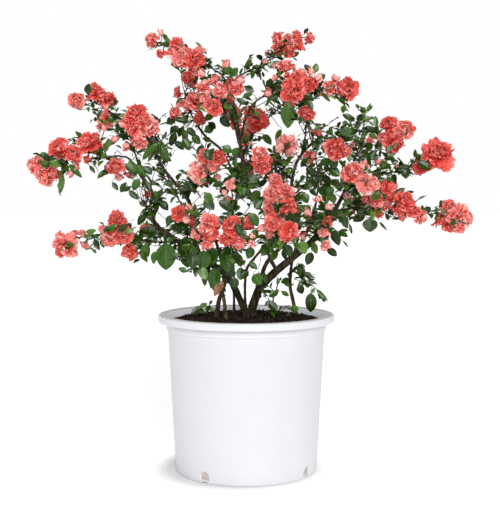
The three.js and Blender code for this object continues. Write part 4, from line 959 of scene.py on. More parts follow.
def make_room_test(skeletons, limbs):
    """A test of whether a point is clear of limbs, blossom, soil and pot, and of the open sky."""
    limb_starts, limb_ways = segments([limb["line"] for limb in limbs])
    limb_radii = np.concatenate([np.full(len(limb["line"]) - 1, limb["radius"]) for limb in limbs])
    heads = [head for skeleton in skeletons.values() for head in skeleton["heads"]]
    centres = np.array([head["at"] for head in heads])
    head_radii = np.array([head["radius"] for head in heads])
    open_ways = np.array([open_way(head) for head in heads])
    gaps = np.array(SKY, dtype=float)

    def is_clear(point):
        offsets = point - centres
        if (np.linalg.norm(offsets, axis=1) < CORE * head_radii).any():
            return False
        ahead = (offsets * open_ways).sum(axis=1)
        beside = np.linalg.norm(offsets - ahead[:, None] * open_ways, axis=1)
        if ((ahead > 0) & (ahead < OPEN_AHEAD * head_radii) & (beside < OPEN_BESIDE * head_radii)).any():
            return False
        if (distances(point, limb_starts, limb_ways) < limb_radii + LIMB["clearance"]).any():
            return False
        if (np.linalg.norm(gaps[:, :2] - shown_at(point), axis=1) < gaps[:, 2]).any():
            return False
        over_wall = math.hypot(point[0], point[1]) > SOIL_RADIUS - WALL_CLEARANCE
        return point[2] > (POT_HEIGHT if over_wall else SOIL_TOP) + 2 * GAP

    return is_clear


def make_space(name, skeletons, is_clear):
    """A test of whether a point keeps to its mass's own space, as in the source."""
    reach = MASSES[name]["reach"]
    own_starts, own_ways = segments(skeletons[name]["lines"])
    others = [skeleton for other, skeleton in skeletons.items() if other != name]
    starts, ways = segments([line for skeleton in others for line in skeleton["lines"]])

    def is_free(point):
        near = distances(point, own_starts, own_ways).min()
        if near > reach or distances(point, starts, ways).min() < near + 2 * GAP:
            return False
        return is_clear(point)

    return is_free


# Leaves and twigs are first collected as plain records, and made into meshes together
def add_leaf(plant, root, tip, facing, width, look, random):
    way = tip - root
    length = np.linalg.norm(way)
    heading = way / length
    normal = unit(facing - heading * (facing @ heading))
    leaf = {"root": root, "heading": heading, "normal": normal, "length": length, "width": width}
    shape = {key: random.uniform(*limits) for key, limits in LEAF_SHAPE.items()}
    plant["leaves"].append(leaf | shape | {"look": look})


def add_small_leaf(plant, root, tip, facing, widths, fine):
    """A leaf in a green of its own, its width a share of its length."""
    width = np.linalg.norm(tip - root) * fine.uniform(*widths)
    add_leaf(plant, root, tip, facing, width, any_green(fine), fine)


def add_twig(plant, line, foot, tip):
    plant["twigs"].append({"line": np.array(line), "foot": foot, "tip": tip})


def leaf_facing(random):
    """Which way a leaf's blade faces: mostly up, and a little to the front."""
    return vector(*(between(random, low, high) for low, high in LEAF["faces"]))


def make_tuft(point, heading, turn, random):
    """One leafy twig that leans off the stem and ends in a leaf, with a leaf on each side of it."""
    out = round_way(0, *square_ways(heading), turn)
    lean = math.radians(between(random, TWIG["least_lean"], TWIG["most_lean"]))
    way = heading * math.cos(lean) + out * math.sin(lean)
    way[2] += TWIG["lift"]
    way = unit(way)
    length = between(random, TWIG["shortest"], TWIG["longest"])
    end_leaf = between(random, LEAF["shortest"], LEAF["longest"])
    facing = leaf_facing(random)
    knot = point + way * length
    tuft = {"twig": [point, knot], "leaves": [(knot, way, end_leaf, facing)]}
    foot = point + way * length * between(random, *TWIG["side_leaves"])
    for side in (1, -1):
        splay = side * between(random, LEAF["least_splay"], LEAF["most_splay"])
        aside = way + sideways(way) * splay
        aside[2] += between(random, -LEAF["tilt"], LEAF["tilt"])
        size = between(random, LEAF["shortest"], LEAF["longest"])
        tuft["leaves"].append((foot, unit(aside), size, leaf_facing(random)))
    return tuft


def has_room(root, heading, length, grown, own_lines, is_free):
    """Whether a leaf keeps to its space, and apart from its mass's stem and other leaves."""
    middle = root + heading * length * LEAF["widest"]
    tip = root + heading * length
    if not (is_free(middle) and is_free(tip) and is_free((middle + tip) / 2)):
        return False
    if distances(middle, *own_lines).min() < LEAF["clear"]:
        return False
    return all(np.linalg.norm(spot - end) > LEAF["apart"] for spot in grown for end in (middle, tip))


def grow_tufts(plant, name, seed, skeleton, is_free, fine):
    """Leafy twigs turned about the stem one after another, each tried until it finds room."""
    tufts = MASSES[name]["tufts"]
    own_lines = segments(skeleton["lines"])
    grown = []
    for i in range(tufts):
        share = lerp(TWIG["first"], TWIG["last"], (i + 0.5) / tufts)
        point, heading = along(skeleton["stem"], share)
        random = make_random(seed * 1000 + i)
        for attempt in range(TWIG["tries"]):
            turn = i * GOLDEN_TURN + attempt * TWIG["retry_turn"]
            tuft = make_tuft(point, heading, turn, random)
            root, way, length, _ = tuft["leaves"][0]
            if has_room(root, way, length, grown, own_lines, is_free):
                leafy_twig(plant, tuft, grown, own_lines, is_free, fine)
                break


def leafy_twig(plant, tuft, grown, own_lines, is_free, fine):
    """The finer form of a tuft: its twig runs on into the end leaf's reach with smaller leaves."""
    point, knot = tuft["twig"]
    _, way, end_length, _ = tuft["leaves"][0]
    end = knot + way * end_length * fine.uniform(*TWIG["beyond"])
    bend = fine.normal(0, TWIG["bend"], 3)
    add_twig(plant, [point, (point + knot) / 2 + bend, knot, end], TWIG["foot"], TWIG["tip"])
    for i, (root, heading, length, face) in enumerate(tuft["leaves"]):
        if i and not has_room(root, heading, length, grown, own_lines, is_free):
            continue
        grown += [root + heading * length * LEAF["widest"], root + heading * length]
        start = end if i == 0 else root
        tip = root + heading * length * (1 if i == 0 else fine.uniform(*TWIG["leaf_share"]))
        if fine.random() < SPRAY["single"]:
            add_small_leaf(plant, start, tip, face, TWIG["widths"], fine)
        else:
            leaf_spray(plant, start, tip, face, is_free, fine)
    for share in np.linspace(*TWIG["buds"]):
        foot, heading = along(np.array([point, knot, end]), share)
        rosette(plant, foot, heading, 2, TWIG["bud_leaves"], is_free, fine)


def leaf_spray(plant, start, tip, facing, is_free, fine):
    """A side twig in the place of one of the source's large leaves, with small leaves along it."""
    side = unit(np.cross(unit(tip - start), facing))
    length = np.linalg.norm(tip - start)
    middle = (start + tip) / 2 + fine.normal(0, SPRAY["bend"] * length, 3)
    line = smooth([start, middle, start + (tip - start) * SPRAY["end"]], 3)
    add_twig(plant, line, SPRAY["foot"], SPRAY["tip"])
    count = max(3, int(length / SPRAY["every"]))
    for i in range(count):
        foot, ahead = along(line, lerp(SPRAY["first"], 1, i / (count - 1)))
        turn = (1 if i % 2 else -1) * fine.uniform(*SPRAY["turns"])
        if i == count - 1:
            turn = fine.uniform(*SPRAY["end_turns"])
        way = unit(ahead * SPRAY["ahead"] + side * turn + unit(facing) * fine.normal(*SPRAY["lift"]))
        end = foot + way * fine.uniform(SPRAY["shortest"], SPRAY["longest"])
        if is_free(end):
            face = facing + fine.normal(0, SPRAY["face_chance"], 3)
            add_small_leaf(plant, foot, end, face, SPRAY["widths"], fine)


def any_green(fine):
    """A leaf's look: mostly dark, some lighter, a few with pale streaks painted in as gloss highlights."""
    return int(fine.choice(LEAF_LOOKS, p=LEAF_SHARES))


def rosette(plant, foot, heading, count, lengths, is_free, fine):
    """Some small leaves set around a bud."""
    across, up = square_ways(heading)
    first = fine.uniform(0, 2 * math.pi)
    for i in range(count):
        turn = first + i * 2 * math.pi / count + fine.normal(0, ROSETTE["chance"])
        way = round_way(heading * fine.uniform(*ROSETTE["ahead"]), across, up, turn)
        way[2] += ROSETTE["lift"]
        length = fine.uniform(*lengths)
        tip = foot + unit(way) * length
        if is_free(tip) and is_free(foot + unit(way) * length / 2):
            add_small_leaf(plant, foot, tip, drawn_vector(fine, ROSETTE["faces"]), ROSETTE["widths"], fine)


def grow_sprigs(plant, line, first, every, is_free, fine):
    """Short spurs with small leaves, one after another along a line."""
    count = int(line_length(line) * (1 - first) / every)
    for i in range(count):
        point, heading = along(line, lerp(first, SPRIG["last"], (i + fine.uniform(*SPRIG["spots"])) / count))
        way = unit(round_way(heading * SPRIG["ahead"], *square_ways(heading), i * GOLDEN_TURN))
        end = point + way * fine.uniform(*SPRIG["spurs"]) * SPRIG["spur"]
        add_twig(plant, [point, end], SPRIG["foot"], SPRIG["tip"])
        rosette(plant, end, way, int(fine.integers(*SPRIG["leaves"])), SPRIG["lengths"], is_free, fine)


def grow_shoots(plant, line, is_free, fine):
    """Short leafy side shoots, turned about a stem one after another."""
    count = int(line_length(line) / SHOOT["every"])
    for i in range(count):
        share = lerp(SHOOT["first"], SHOOT["last"], (i + fine.uniform(0, 1)) / count)
        point, heading = along(line, share)
        ahead = heading * fine.uniform(*SHOOT["ahead"])
        way = unit(round_way(ahead, *square_ways(heading), SHOOT["turn"] + i * GOLDEN_TURN))
        length = fine.uniform(SHOOT["shortest"], SHOOT["longest"])
        if is_free(point + way * length) and is_free(point + way * length * SHOOT["middle"]):
            facing = drawn_vector(fine, SHOOT["faces"])
            leaf_spray(plant, point, point + way * length, facing, is_free, fine)


def hang_leaves(plant, leaves, lines, fine):
    """The large leaves that show one by one, each on a stalk from the nearest of a mass's lines."""
    spots = np.array([along(own, share)[0] for own in lines for share in np.linspace(*HUNG["spots"])])
    for column, row, tip_column, tip_row, width, *more in leaves:
        look, ahead = more if more else (int(fine.choice(3, p=HUNG["looks"])), LEAF["ahead"])
        depth = depth_at(column, row, lines[0]) - ahead
        root = place([column, row, depth])
        tip = place([tip_column, tip_row, depth - HUNG["nod"]])
        foot = spots[np.argmin(np.linalg.norm(spots - root, axis=1))]
        chance = HUNG["bend"] * np.linalg.norm(root - foot)
        bends = [lerp(foot, root, share) + fine.normal(0, chance, 3) for share in HUNG["bends"]]
        add_twig(plant, smooth([foot, *bends, root], 3), HUNG["foot"], HUNG["tip"])
        facing = vector(fine.uniform(*HUNG["aside"]), -1, fine.uniform(*HUNG["up"]))
        add_leaf(plant, root, tip, facing, width * PIXEL, look, fine)


# Blossom
def add_blossom(plant, head, fine):
    """One blossom on its spur, with its petals, calyx and stamens."""
    at, radius, facing = head["at"], head["radius"], head["facing"]
    whorls, depth, tones = OPEN_KIND
    if radius < BUD_BELOW:
        whorls, depth, tones = BUD_KIND
    elif radius < HALF_OPEN_BELOW:
        whorls, depth, tones = HALF_KIND
    if head["away"]:
        tones = AWAY_TONES
    uneven = PETAL["away"] if head["away"] else 1
    base = at - facing * radius * depth
    across = unit(np.cross(facing, ASIDE))
    up = np.cross(facing, across)
    tone = int(fine.choice(tones))
    start = 0.0
    for count, length, foot_lean, tip_lean, cup in whorls:
        start += fine.uniform(*PETAL["starts"])
        broad = PETAL["least_width"] + PETAL["more_width"] * min(length, PETAL["long"])
        for i in range(count):
            turn = start + 2 * math.pi * i / count + fine.normal(0, PETAL["turn"])
            plant["petals"].append({
                "root": base, "axis": facing, "out": round_way(0, across, up, turn),
                "length": radius * length * fine.uniform(*PETAL["lengths"]),
                "width": radius * fine.uniform(*PETAL["widths"]) * broad,
                "foot_lean": math.radians(foot_lean + fine.normal(0, PETAL["foot_lean"] * uneven)),
                "tip_lean": math.radians(tip_lean + fine.normal(0, PETAL["tip_lean"] * uneven)),
                "cup": cup,
                "wave": fine.uniform(*PETAL["waves"]) if radius >= BUD_BELOW else PETAL["bud_wave"],
                "phase": fine.uniform(*PHASES),
                "look": int(np.clip(tone + fine.choice(PETAL["tones"]), *PETAL["looks"])),
            })
    add_calyx(plant, base, facing, across, up, radius, fine)
    if whorls is OPEN_WHORLS and not head["away"]:
        add_stamens(plant, base, facing, across, up, radius, fine)
    bend = (head["foot"] + base) / 2 + fine.normal(0, SPUR["bend"], 3)
    spur = [head["foot"], bend, base - facing * radius * SPUR["neck"], base]
    add_twig(plant, spur, SPUR["thick"], SPUR["thick"] * SPUR["taper"])


def add_calyx(plant, base, facing, across, up, radius, fine):
    for i in range(CALYX["count"]):
        turn = 2 * math.pi * i / CALYX["count"] + fine.uniform(*CALYX["turns"])
        plant["sepals"].append(SEPAL | {
            "root": base - facing * radius * CALYX["drop"], "axis": facing,
            "out": round_way(0, across, up, turn),
            "length": min(radius * CALYX["length"], CALYX["longest"]),
            "width": min(radius * CALYX["width"], CALYX["widest"]),
        })


def add_stamens(plant, base, facing, across, up, radius, fine):
    for _ in range(STAMEN["count"]):
        out = round_way(0, across, up, fine.uniform(0, 2 * math.pi))
        way = unit(facing + out * fine.uniform(*STAMEN["spread"]))
        tip = base + way * radius * fine.uniform(*STAMEN["reach"])
        plant["stamens"].append([base + way * radius * STAMEN["foot"], tip])


def values_of(records, *keys):
    """For each key the records' values, shaped to go with rows and columns of points."""
    return [np.array([record[key] for record in records], dtype=float)[:, None, None] for key in keys]


def petal_meshes(records):
    """Points, faces and face looks of all petals at once: curved, cupped and ruffled sheets."""
    rows, columns = PETAL_ROWS[None, :, None], PETAL_COLUMNS[None, None, :]
    root, axis, out = values_of(records, "root", "axis", "out")
    keys = ("length", "width", "foot_lean", "tip_lean", "cup", "wave", "phase")
    length, width, foot, tip, cup, wave, phase = values_of(records, *keys)
    bend = tip - foot
    bend = np.where(np.abs(bend) < LEAST_BEND, LEAST_BEND, bend)
    lean = foot + bend * rows
    widest = PETAL["widest"]
    swelling = lerp(PETAL["foot"], 1, np.sin(np.clip(rows / widest, 0, 1) * math.pi / 2))
    rounding = np.sqrt(1 - PETAL["rounding"] * (np.clip(rows - widest, 0, 1) / (1 - widest)) ** 2)
    half = width / 2 * swelling * rounding
    reach = length * (np.cos(foot) - np.cos(lean)) / bend
    rise = length * (np.sin(lean) - np.sin(foot)) / bend
    rounded = -PETAL["margin"] * length * rows * columns**2
    ruffle = np.sin(RUFFLE["across"] * columns + phase + RUFFLE["along"] * rows)
    finer = np.sin(RUFFLE["finer"] * columns - 2 * phase)
    ruffle = wave * length * rows**2 * ruffle + RUFFLE["finer_share"] * wave * length * rows**3 * finer
    lift = cup * half * columns**2 + ruffle
    far = reach + rounded * np.sin(lean) - lift * np.cos(lean)
    high = rise + rounded * np.cos(lean) + lift * np.sin(lean)
    across = half * columns * np.ones_like(far)
    points = root + out * far[..., None] + axis * high[..., None]
    points = points + np.cross(axis, out) * across[..., None]
    faces = sheet_faces(len(records), len(PETAL_ROWS), len(PETAL_COLUMNS))
    return points.reshape(-1, 3), faces, petal_looks([record["look"] for record in records])


def sheet_faces(count, rows, columns):
    """The quads of some equal sheets of rows and columns of points, one sheet after another."""
    row, column = np.meshgrid(np.arange(rows - 1), np.arange(columns - 1), indexing="ij")
    corner = (row * columns + column).ravel()
    quads = np.stack([corner, corner + 1, corner + columns + 1, corner + columns], axis=1)
    firsts = np.arange(count) * rows * columns
    return (firsts[:, None, None] + quads[None]).reshape(-1, 4)


def petal_looks(tones):
    """Deep at the foot of each petal, painted shade in the folds; paler along its margin, a painted
    highlight.
    """
    rows, columns = len(PETAL_ROWS) - 1, len(PETAL_COLUMNS) - 1
    looks = np.repeat(tones, rows * columns).reshape(-1, rows, columns)
    # The foot row takes the deepest tone: painted shade in the folds
    looks[:, 0, :] = 0
    # The margin row is one tone paler: painted highlight
    looks[:, -1, :] = np.minimum(looks[:, -1, :] + 1, len(PETAL_TONES) - 1)
    return looks.ravel()


def leaf_outline(share):
    """Half width of a leaf along its length: a thin stalk, then a blade with a pointed tip."""
    blade = np.clip((share - BLADE["stalk"]) / (1 - BLADE["stalk"]), 0, 1)
    shape = blade ** BLADE["foot"] * (1 - blade) ** BLADE["tip"]
    return np.maximum(shape / shape.max(), BLADE["stalk_width"])


def leaf_meshes(records, ribbed):
    """Points, faces and face looks of leaves: folded along the midrib, drooping and waved."""
    row_count, column_count = len(LEAF_ROWS[ribbed]), len(LEAF_COLUMNS[ribbed])
    rows, columns = LEAF_ROWS[ribbed][None, :, None], LEAF_COLUMNS[ribbed][None, None, :]
    root, heading, normal = values_of(records, "root", "heading", "normal")
    keys = ("length", "width", "fold", "droop", "wave", "phase")
    length, width, fold, droop, wave, phase = values_of(records, *keys)
    droop = np.where(np.abs(droop) < LEAST_BEND, LEAST_BEND, droop)
    half = width / 2 * leaf_outline(rows) * np.ones_like(columns)
    across = half * columns
    ahead = length * np.sin(droop * rows) / droop
    lift = -length * (1 - np.cos(droop * rows)) / droop + fold * np.abs(across)
    lift = lift + wave * length * np.sin(BLADE["ripples"] * rows + phase + columns) * np.abs(columns) * rows
    ahead = ahead * np.ones_like(lift)
    points = root + heading * ahead[..., None] + np.cross(heading, normal) * across[..., None]
    points = points + normal * lift[..., None]
    faces = sheet_faces(len(records), row_count, column_count)
    tones = [record["look"] for record in records]
    looks = np.repeat(tones, (row_count - 1) * (column_count - 1)).reshape(len(records), row_count - 1, -1)
    if ribbed:
        looks[:, :-2, column_count // 2 - 1] = RIB_LOOK
    return points.reshape(-1, 3), faces, looks.ravel()


def ring_faces(rings, sides, inwards=False):
    """The quads between some rings of points, one after another."""
    side = np.arange(sides)
    next_side = (side + 1) % sides
    firsts = np.arange(rings - 1)[:, None] * sides
    corners = [firsts + side, firsts + next_side, firsts + sides + next_side, firsts + sides + side]
    if inwards:
        corners = [corners[i] for i in (0, 3, 2, 1)]
    return np.stack(corners, axis=2).reshape(-1, 4)


def tube_mesh(line, radii, sides, look=0):
    """A round rod along a line, with one radius a point or one a corner."""
    ways = np.gradient(line, axis=0)
    across = sideways(unit(ways[0]))
    turns = np.linspace(0, 2 * math.pi, sides, endpoint=False)
    rings = []
    for point, way, radius in zip(line, ways, radii):
        heading = unit(way)
        across = unit(across - heading * (across @ heading))
        up = np.cross(heading, across)
        ring = np.outer(np.cos(turns), across) + np.outer(np.sin(turns), up)
        rings.append(point + ring * np.reshape(radius, (-1, 1)))
    faces = ring_faces(len(line), sides)
    return np.concatenate(rings), faces, np.full(len(faces), look)


def join_parts(parts):
    """One set of points, faces and face looks from several; the faces of a set have equal corners."""
    points, faces, looks, count = [], [], [], 0
    for part_points, part_faces, part_looks in parts:
        points.append(part_points)
        faces.append(part_faces + count)
        looks.append(part_looks)
        count += len(part_points)
    return np.concatenate(points), np.concatenate(faces), np.concatenate(looks)


def make_piece(name, part, finishes, nodes):
    """A mesh object in metres that stands for some nodes of the frame."""
    points, faces, looks = part
    mesh = bpy.data.meshes.new(name)
    corners = faces.shape[1]
    mesh.vertices.add(len(points))
    mesh.vertices.foreach_set("co", (points * MM).astype(np.float32).ravel())
    mesh.loops.add(faces.size)
    mesh.loops.foreach_set("vertex_index", faces.astype(np.int32).ravel())
    mesh.polygons.add(len(faces))
    mesh.polygons.foreach_set("loop_start", np.arange(0, faces.size, corners, dtype=np.int32))
    for surface in finishes:
        mesh.materials.append(surface)
    mesh.polygons.foreach_set("material_index", looks.astype(np.int32))
    mesh.polygons.foreach_set("use_smooth", np.ones(len(faces), dtype=bool))
    mesh.update(calc_edges=True)
    mesh.validate()
    piece = bpy.data.objects.new(name, mesh)
    bpy.context.scene.collection.objects.link(piece)
    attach(piece, "root")
    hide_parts(*nodes)


# Limbs
def crinkle(points, scale, seed):
    """A smooth uneven value from -1 to 1 at each point; scale is its size in mm."""
    random = np.random.default_rng(seed)
    total = np.zeros(len(points))
    for _ in range(CRINKLE["waves"]):
        way = random.normal(0, 1, 3)
        way /= np.linalg.norm(way) * scale
        total += np.sin(points @ way * 2 * math.pi + random.uniform(*PHASES))
    return total / CRINKLE["height"]


def limb_mesh(name, line, seed):
    """A limb with ridged bark, knots and a flared foot where it stands on the soil."""
    thick = LIMBS[name]["thick"]
    stout = thick[0] > LIMB["stout"]
    sides = LIMB["stout_sides"] if stout else LIMB["sides"]
    random = np.random.default_rng(seed)
    shares = np.linspace(0, 1, len(line))
    flare = 0 if "on" in LIMBS[name] else LIMB["flare"]
    radii = lerp(*thick, shares) / 2 * (1 + flare * np.clip(1 - shares / LIMB["flare_share"], 0, 1) ** 2)
    turns = np.linspace(0, 2 * math.pi, sides, endpoint=False)[None, :]
    lengths = (shares * line_length(line))[:, None]
    lobes = turns * RELIEF["lobe_count"] + lengths * RELIEF["twist"] + random.uniform(*PHASES)
    bends = np.sin(lengths * RELIEF["bends"]) * RELIEF["bend"]
    ridges = turns * RELIEF["ridge_count"] + bends + random.uniform(*PHASES)
    waves = RELIEF["lobes"] * np.sin(lobes) + RELIEF["ridges"] * np.sin(ridges)
    rough = random.normal(0, RELIEF["rough"], (len(line), sides))
    relief = 1 + waves * (1 if stout else RELIEF["thin_share"]) + rough
    length = lengths[-1, 0]
    for _ in range(max(2, int(length / KNOT["every"]))):
        knot = random.uniform(KNOT["first"], length)
        turn = random.uniform(0, 2 * math.pi)
        near = np.exp(-((lengths - knot) / KNOT["length"]) ** 2)
        facing = np.exp(-(1 - np.cos(turns - turn)) / KNOT["spread"])
        relief += KNOT["rise"] * near * facing
    tapered = radii * np.where(shares > LIMB["end"], LIMB["end_share"], 1)
    return tube_mesh(line, tapered[:, None] * relief, sides, int(thick[0] < YOUNG_BARK_BELOW))


def close_line(line):
    """The line with points at even, close spacing."""
    count = max(2, int(line_length(line) / LIMB["ring_every"]))
    return np.array([along(line, share)[0] for share in np.linspace(0, 1, count + 1)])


# Soil: a mound of broken bark chips
def on_soil(radius, turn):
    """Points on the soil: level where the stems stand, and lower towards the pot's wall."""
    share = np.clip((radius - SOIL_PLATEAU) / (SOIL_RADIUS - SOIL_PLATEAU), 0, 1)
    height = lerp(SOIL_TOP, SOIL_EDGE, share)
    return np.stack([radius * np.cos(turn), radius * np.sin(turn), height], axis=-1)


def soil_mesh():
    middle, inner = SOIL["inner"]
    radii = np.array([middle, *np.linspace(inner, SOIL_RADIUS, SOIL["rings"])])
    turns = np.linspace(0, 2 * math.pi, SOIL["sides"], endpoint=False)
    points = on_soil(*np.meshgrid(radii, turns, indexing="ij")).reshape(-1, 3)
    folds = [depth * crinkle(points, scale, seed) for depth, scale, seed in SOIL["folds"]]
    points[:, 2] += sum(folds) - SOIL["sink"]
    faces = ring_faces(len(radii), SOIL["sides"], inwards=True)
    return points, faces, np.zeros(len(faces), dtype=int)


def chip_mesh():
    """Bark chips as bent six-sided blocks, thrown over the soil."""
    random = np.random.default_rng(SEEDS["chips"])
    count = CHIP["count"]
    radius = (SOIL_RADIUS - CHIP["margin"]) * np.sqrt(random.uniform(0, 1, count))
    centre = on_soil(radius, random.uniform(0, 2 * math.pi, count))
    centre[:, 2] += random.uniform(*CHIP["rise"], count)
    sizes = np.stack([random.uniform(low, high, count) for low, high in CHIP["sizes"]], axis=1)
    cube = np.array([[x, y, z] for z in (-1, 1) for y in (-1, 1) for x in (-1, 1)], dtype=float)
    corners = cube[None] * sizes[:, None] / CHIP["shrink"] * random.uniform(*CHIP["corners"], (count, 8, 3))
    spin = random.uniform(0, 2 * math.pi, count)[:, None]
    tilt = random.normal(0, CHIP["tilt"], (count, 2))
    x, y, z = np.moveaxis(corners, 2, 0)
    turned_x = x * np.cos(spin) - y * np.sin(spin)
    turned_y = x * np.sin(spin) + y * np.cos(spin)
    turned_z = z + (turned_x * tilt[:, :1] + turned_y * tilt[:, 1:])
    points = (centre[:, None] + np.stack([turned_x, turned_y, turned_z], axis=2)).reshape(-1, 3)
    quads = np.array([[0, 2, 3, 1], [4, 5, 7, 6], [0, 1, 5, 4], [1, 3, 7, 5], [3, 2, 6, 7], [2, 0, 4, 6]])
    faces = (np.arange(count)[:, None, None] * 8 + quads[None]).reshape(-1, 4)
    return points, faces, np.repeat(random.integers(0, len(CHIP_TONES), count), len(quads))


# Pot
def arc(centre, radius, start, end, steps):
    turns = np.radians(np.linspace(start, end, steps))
    return [[centre[0] + radius * math.cos(turn), centre[1] + radius * math.sin(turn)] for turn in turns]


def pot_profile():
    """Radius and height along the pot's outline, from the middle of its underside to its inner floor."""
    inner = RIM_RADIUS - LIP_WIDTH
    collar = inner + WALL
    band_foot = POT_HEIGHT - RIM_BAND
    collar_foot = band_foot - COLLAR_HEIGHT
    foot = FOOT_ROUNDING
    slope = (inner - BASE_RADIUS) / (collar_foot - foot)
    low = np.arange(foot + POT_STEP["height"], POT_STEP["low_wall"], POT_STEP["height"])
    heights = [*low, *np.linspace(30, collar_foot - 3, POT_STEP["high_rows"])]
    wall = [[BASE_RADIUS + slope * (height - foot), height] for height in heights]
    rows = [[1, 0], [60, 0], [BASE_RADIUS - foot - 4, 0]]
    rows += arc([BASE_RADIUS - foot, foot], foot, -90, 0, 6) + wall
    rows += [[inner, collar_foot - 1.5], [inner + 0.5, collar_foot - 0.6]]
    rows += arc([collar - 1.0, collar_foot + 1.0], 1.0, -60, 0, 4)
    rows += [[collar, band_foot - 2], [collar, POT_HEIGHT - WALL - 1], [collar + 1, POT_HEIGHT - WALL]]
    rows += [[RIM_RADIUS - WALL - 1, POT_HEIGHT - WALL], [RIM_RADIUS - WALL, POT_HEIGHT - WALL - 1]]
    rows += [[RIM_RADIUS - WALL, band_foot + 0.6], [RIM_RADIUS - WALL + 0.6, band_foot]]
    rows += arc([RIM_RADIUS - 0.8, band_foot + 0.8], 0.8, -90, 0, 4)
    rows += arc([RIM_RADIUS - 2.6, POT_HEIGHT - 2.6], 2.6, 0, 90, 7)
    rows += [[RIM_RADIUS - 6, POT_HEIGHT - 0.15], [inner + 5, POT_HEIGHT - 0.5]]
    rows += arc([inner + 2.2, POT_HEIGHT - 2.8], 2.2, 90, 180, 6)
    rows += [[inner - 0.6, POT_HEIGHT - 8], [inner - WALL, collar_foot - 6], [inner - 5, 180]]
    rows += [[BASE_RADIUS - WALL, WALL], [1, WALL]]
    return np.array(rows)


def arch_distance(across, height):
    """How far a place on the wall is outside a drain hole's round-headed outline; negative inside."""
    half = DRAIN["width"] / 2
    spring = DRAIN["sill"] + DRAIN["height"] - half
    round_head = np.hypot(across, height - spring) - half
    straight = np.maximum(np.abs(across) - half, DRAIN["sill"] - height)
    return np.where(height > spring, round_head, straight)


def notch_distance(across, height):
    """The same for the low notch in the foot under a drain hole."""
    return np.hypot(across / (NOTCH["width"] / 2), height / NOTCH["height"]) - 1


def hole_middles():
    """The directions of the drain holes in degrees."""
    return [DRAIN["turn"] - 90 + 360 * hole / DRAIN["count"] for hole in range(DRAIN["count"])]


def pot_turns():
    """Directions of the pot's outline points, closer together at the drain holes."""
    turns = set(np.round(np.linspace(0, 360, POT_STEP["round"], endpoint=False), 3))
    half_hole = POT_STEP["half_hole"]
    for middle in hole_middles():
        turns |= set(np.round((middle + np.linspace(-half_hole, half_hole, POT_STEP["at_hole"])) % 360, 3))
    return np.radians(np.array(sorted(turns)))


def pot_mesh():
    """The turned pot, its wall pressed in at the drain holes."""
    profile, turns = pot_profile(), pot_turns()
    radius = np.repeat(profile[:, :1], len(turns), axis=1)
    height = np.repeat(profile[:, 1:], len(turns), axis=1)
    outer = np.arange(len(profile)) < len(profile) // 2
    wall = outer[:, None] & (radius > BASE_RADIUS - DRAIN["outside"]) & (height < DRAIN["below"])
    inside = np.zeros_like(wall)
    for middle in hole_middles():
        off = (turns - math.radians(middle) + math.pi) % (2 * math.pi) - math.pi
        across = np.sin(off)[None, :] * BASE_RADIUS + np.zeros_like(radius)
        facing = (np.cos(off) > DRAIN["facing"])[None, :] & wall
        arch_gap, notch_gap = arch_distance(across, height), notch_distance(across, height)
        arch = np.clip(0.5 - arch_gap / DRAIN["edge"], 0, 1)
        notch = np.clip(0.5 - notch_gap / NOTCH["edge"], 0, 1)
        radius = radius - np.where(facing, DRAIN["depth"] * arch + NOTCH["depth"] * notch, 0)
        # Points well inside a hole or notch get the painted shade
        inside |= facing & ((arch_gap < -DRAIN["painted_shade_inset"]) | (notch_gap < -NOTCH["painted_shade_inset"]))
    points = np.stack([radius * np.cos(turns), radius * np.sin(turns), height], axis=2)
    faces = ring_faces(len(profile), len(turns))
    # Look 1 is the painted shade inside the holes and notches
    looks = inside.ravel()[faces].all(axis=1).astype(int)
    wall_top = POT_HEIGHT - RIM_BAND - COLLAR_HEIGHT
    # The wall below the collar takes the darker copy of the plastic: painted shade
    looks[(looks == 0) & (height.ravel()[faces].max(axis=1) < wall_top)] = SHADED_WALL_LOOK
    # The rows inside the lip take the lighter, glowing copy: painted light
    looks[(len(profile) - INNER_ROWS) * len(turns):] = INNER_GLOW_LOOK
    return points.reshape(-1, 3), faces, looks


# Finishes
def set_inputs(node, **values):
    for socket, value in values.items():
        node.inputs[socket.replace("_", " ")].default_value = value
    return node


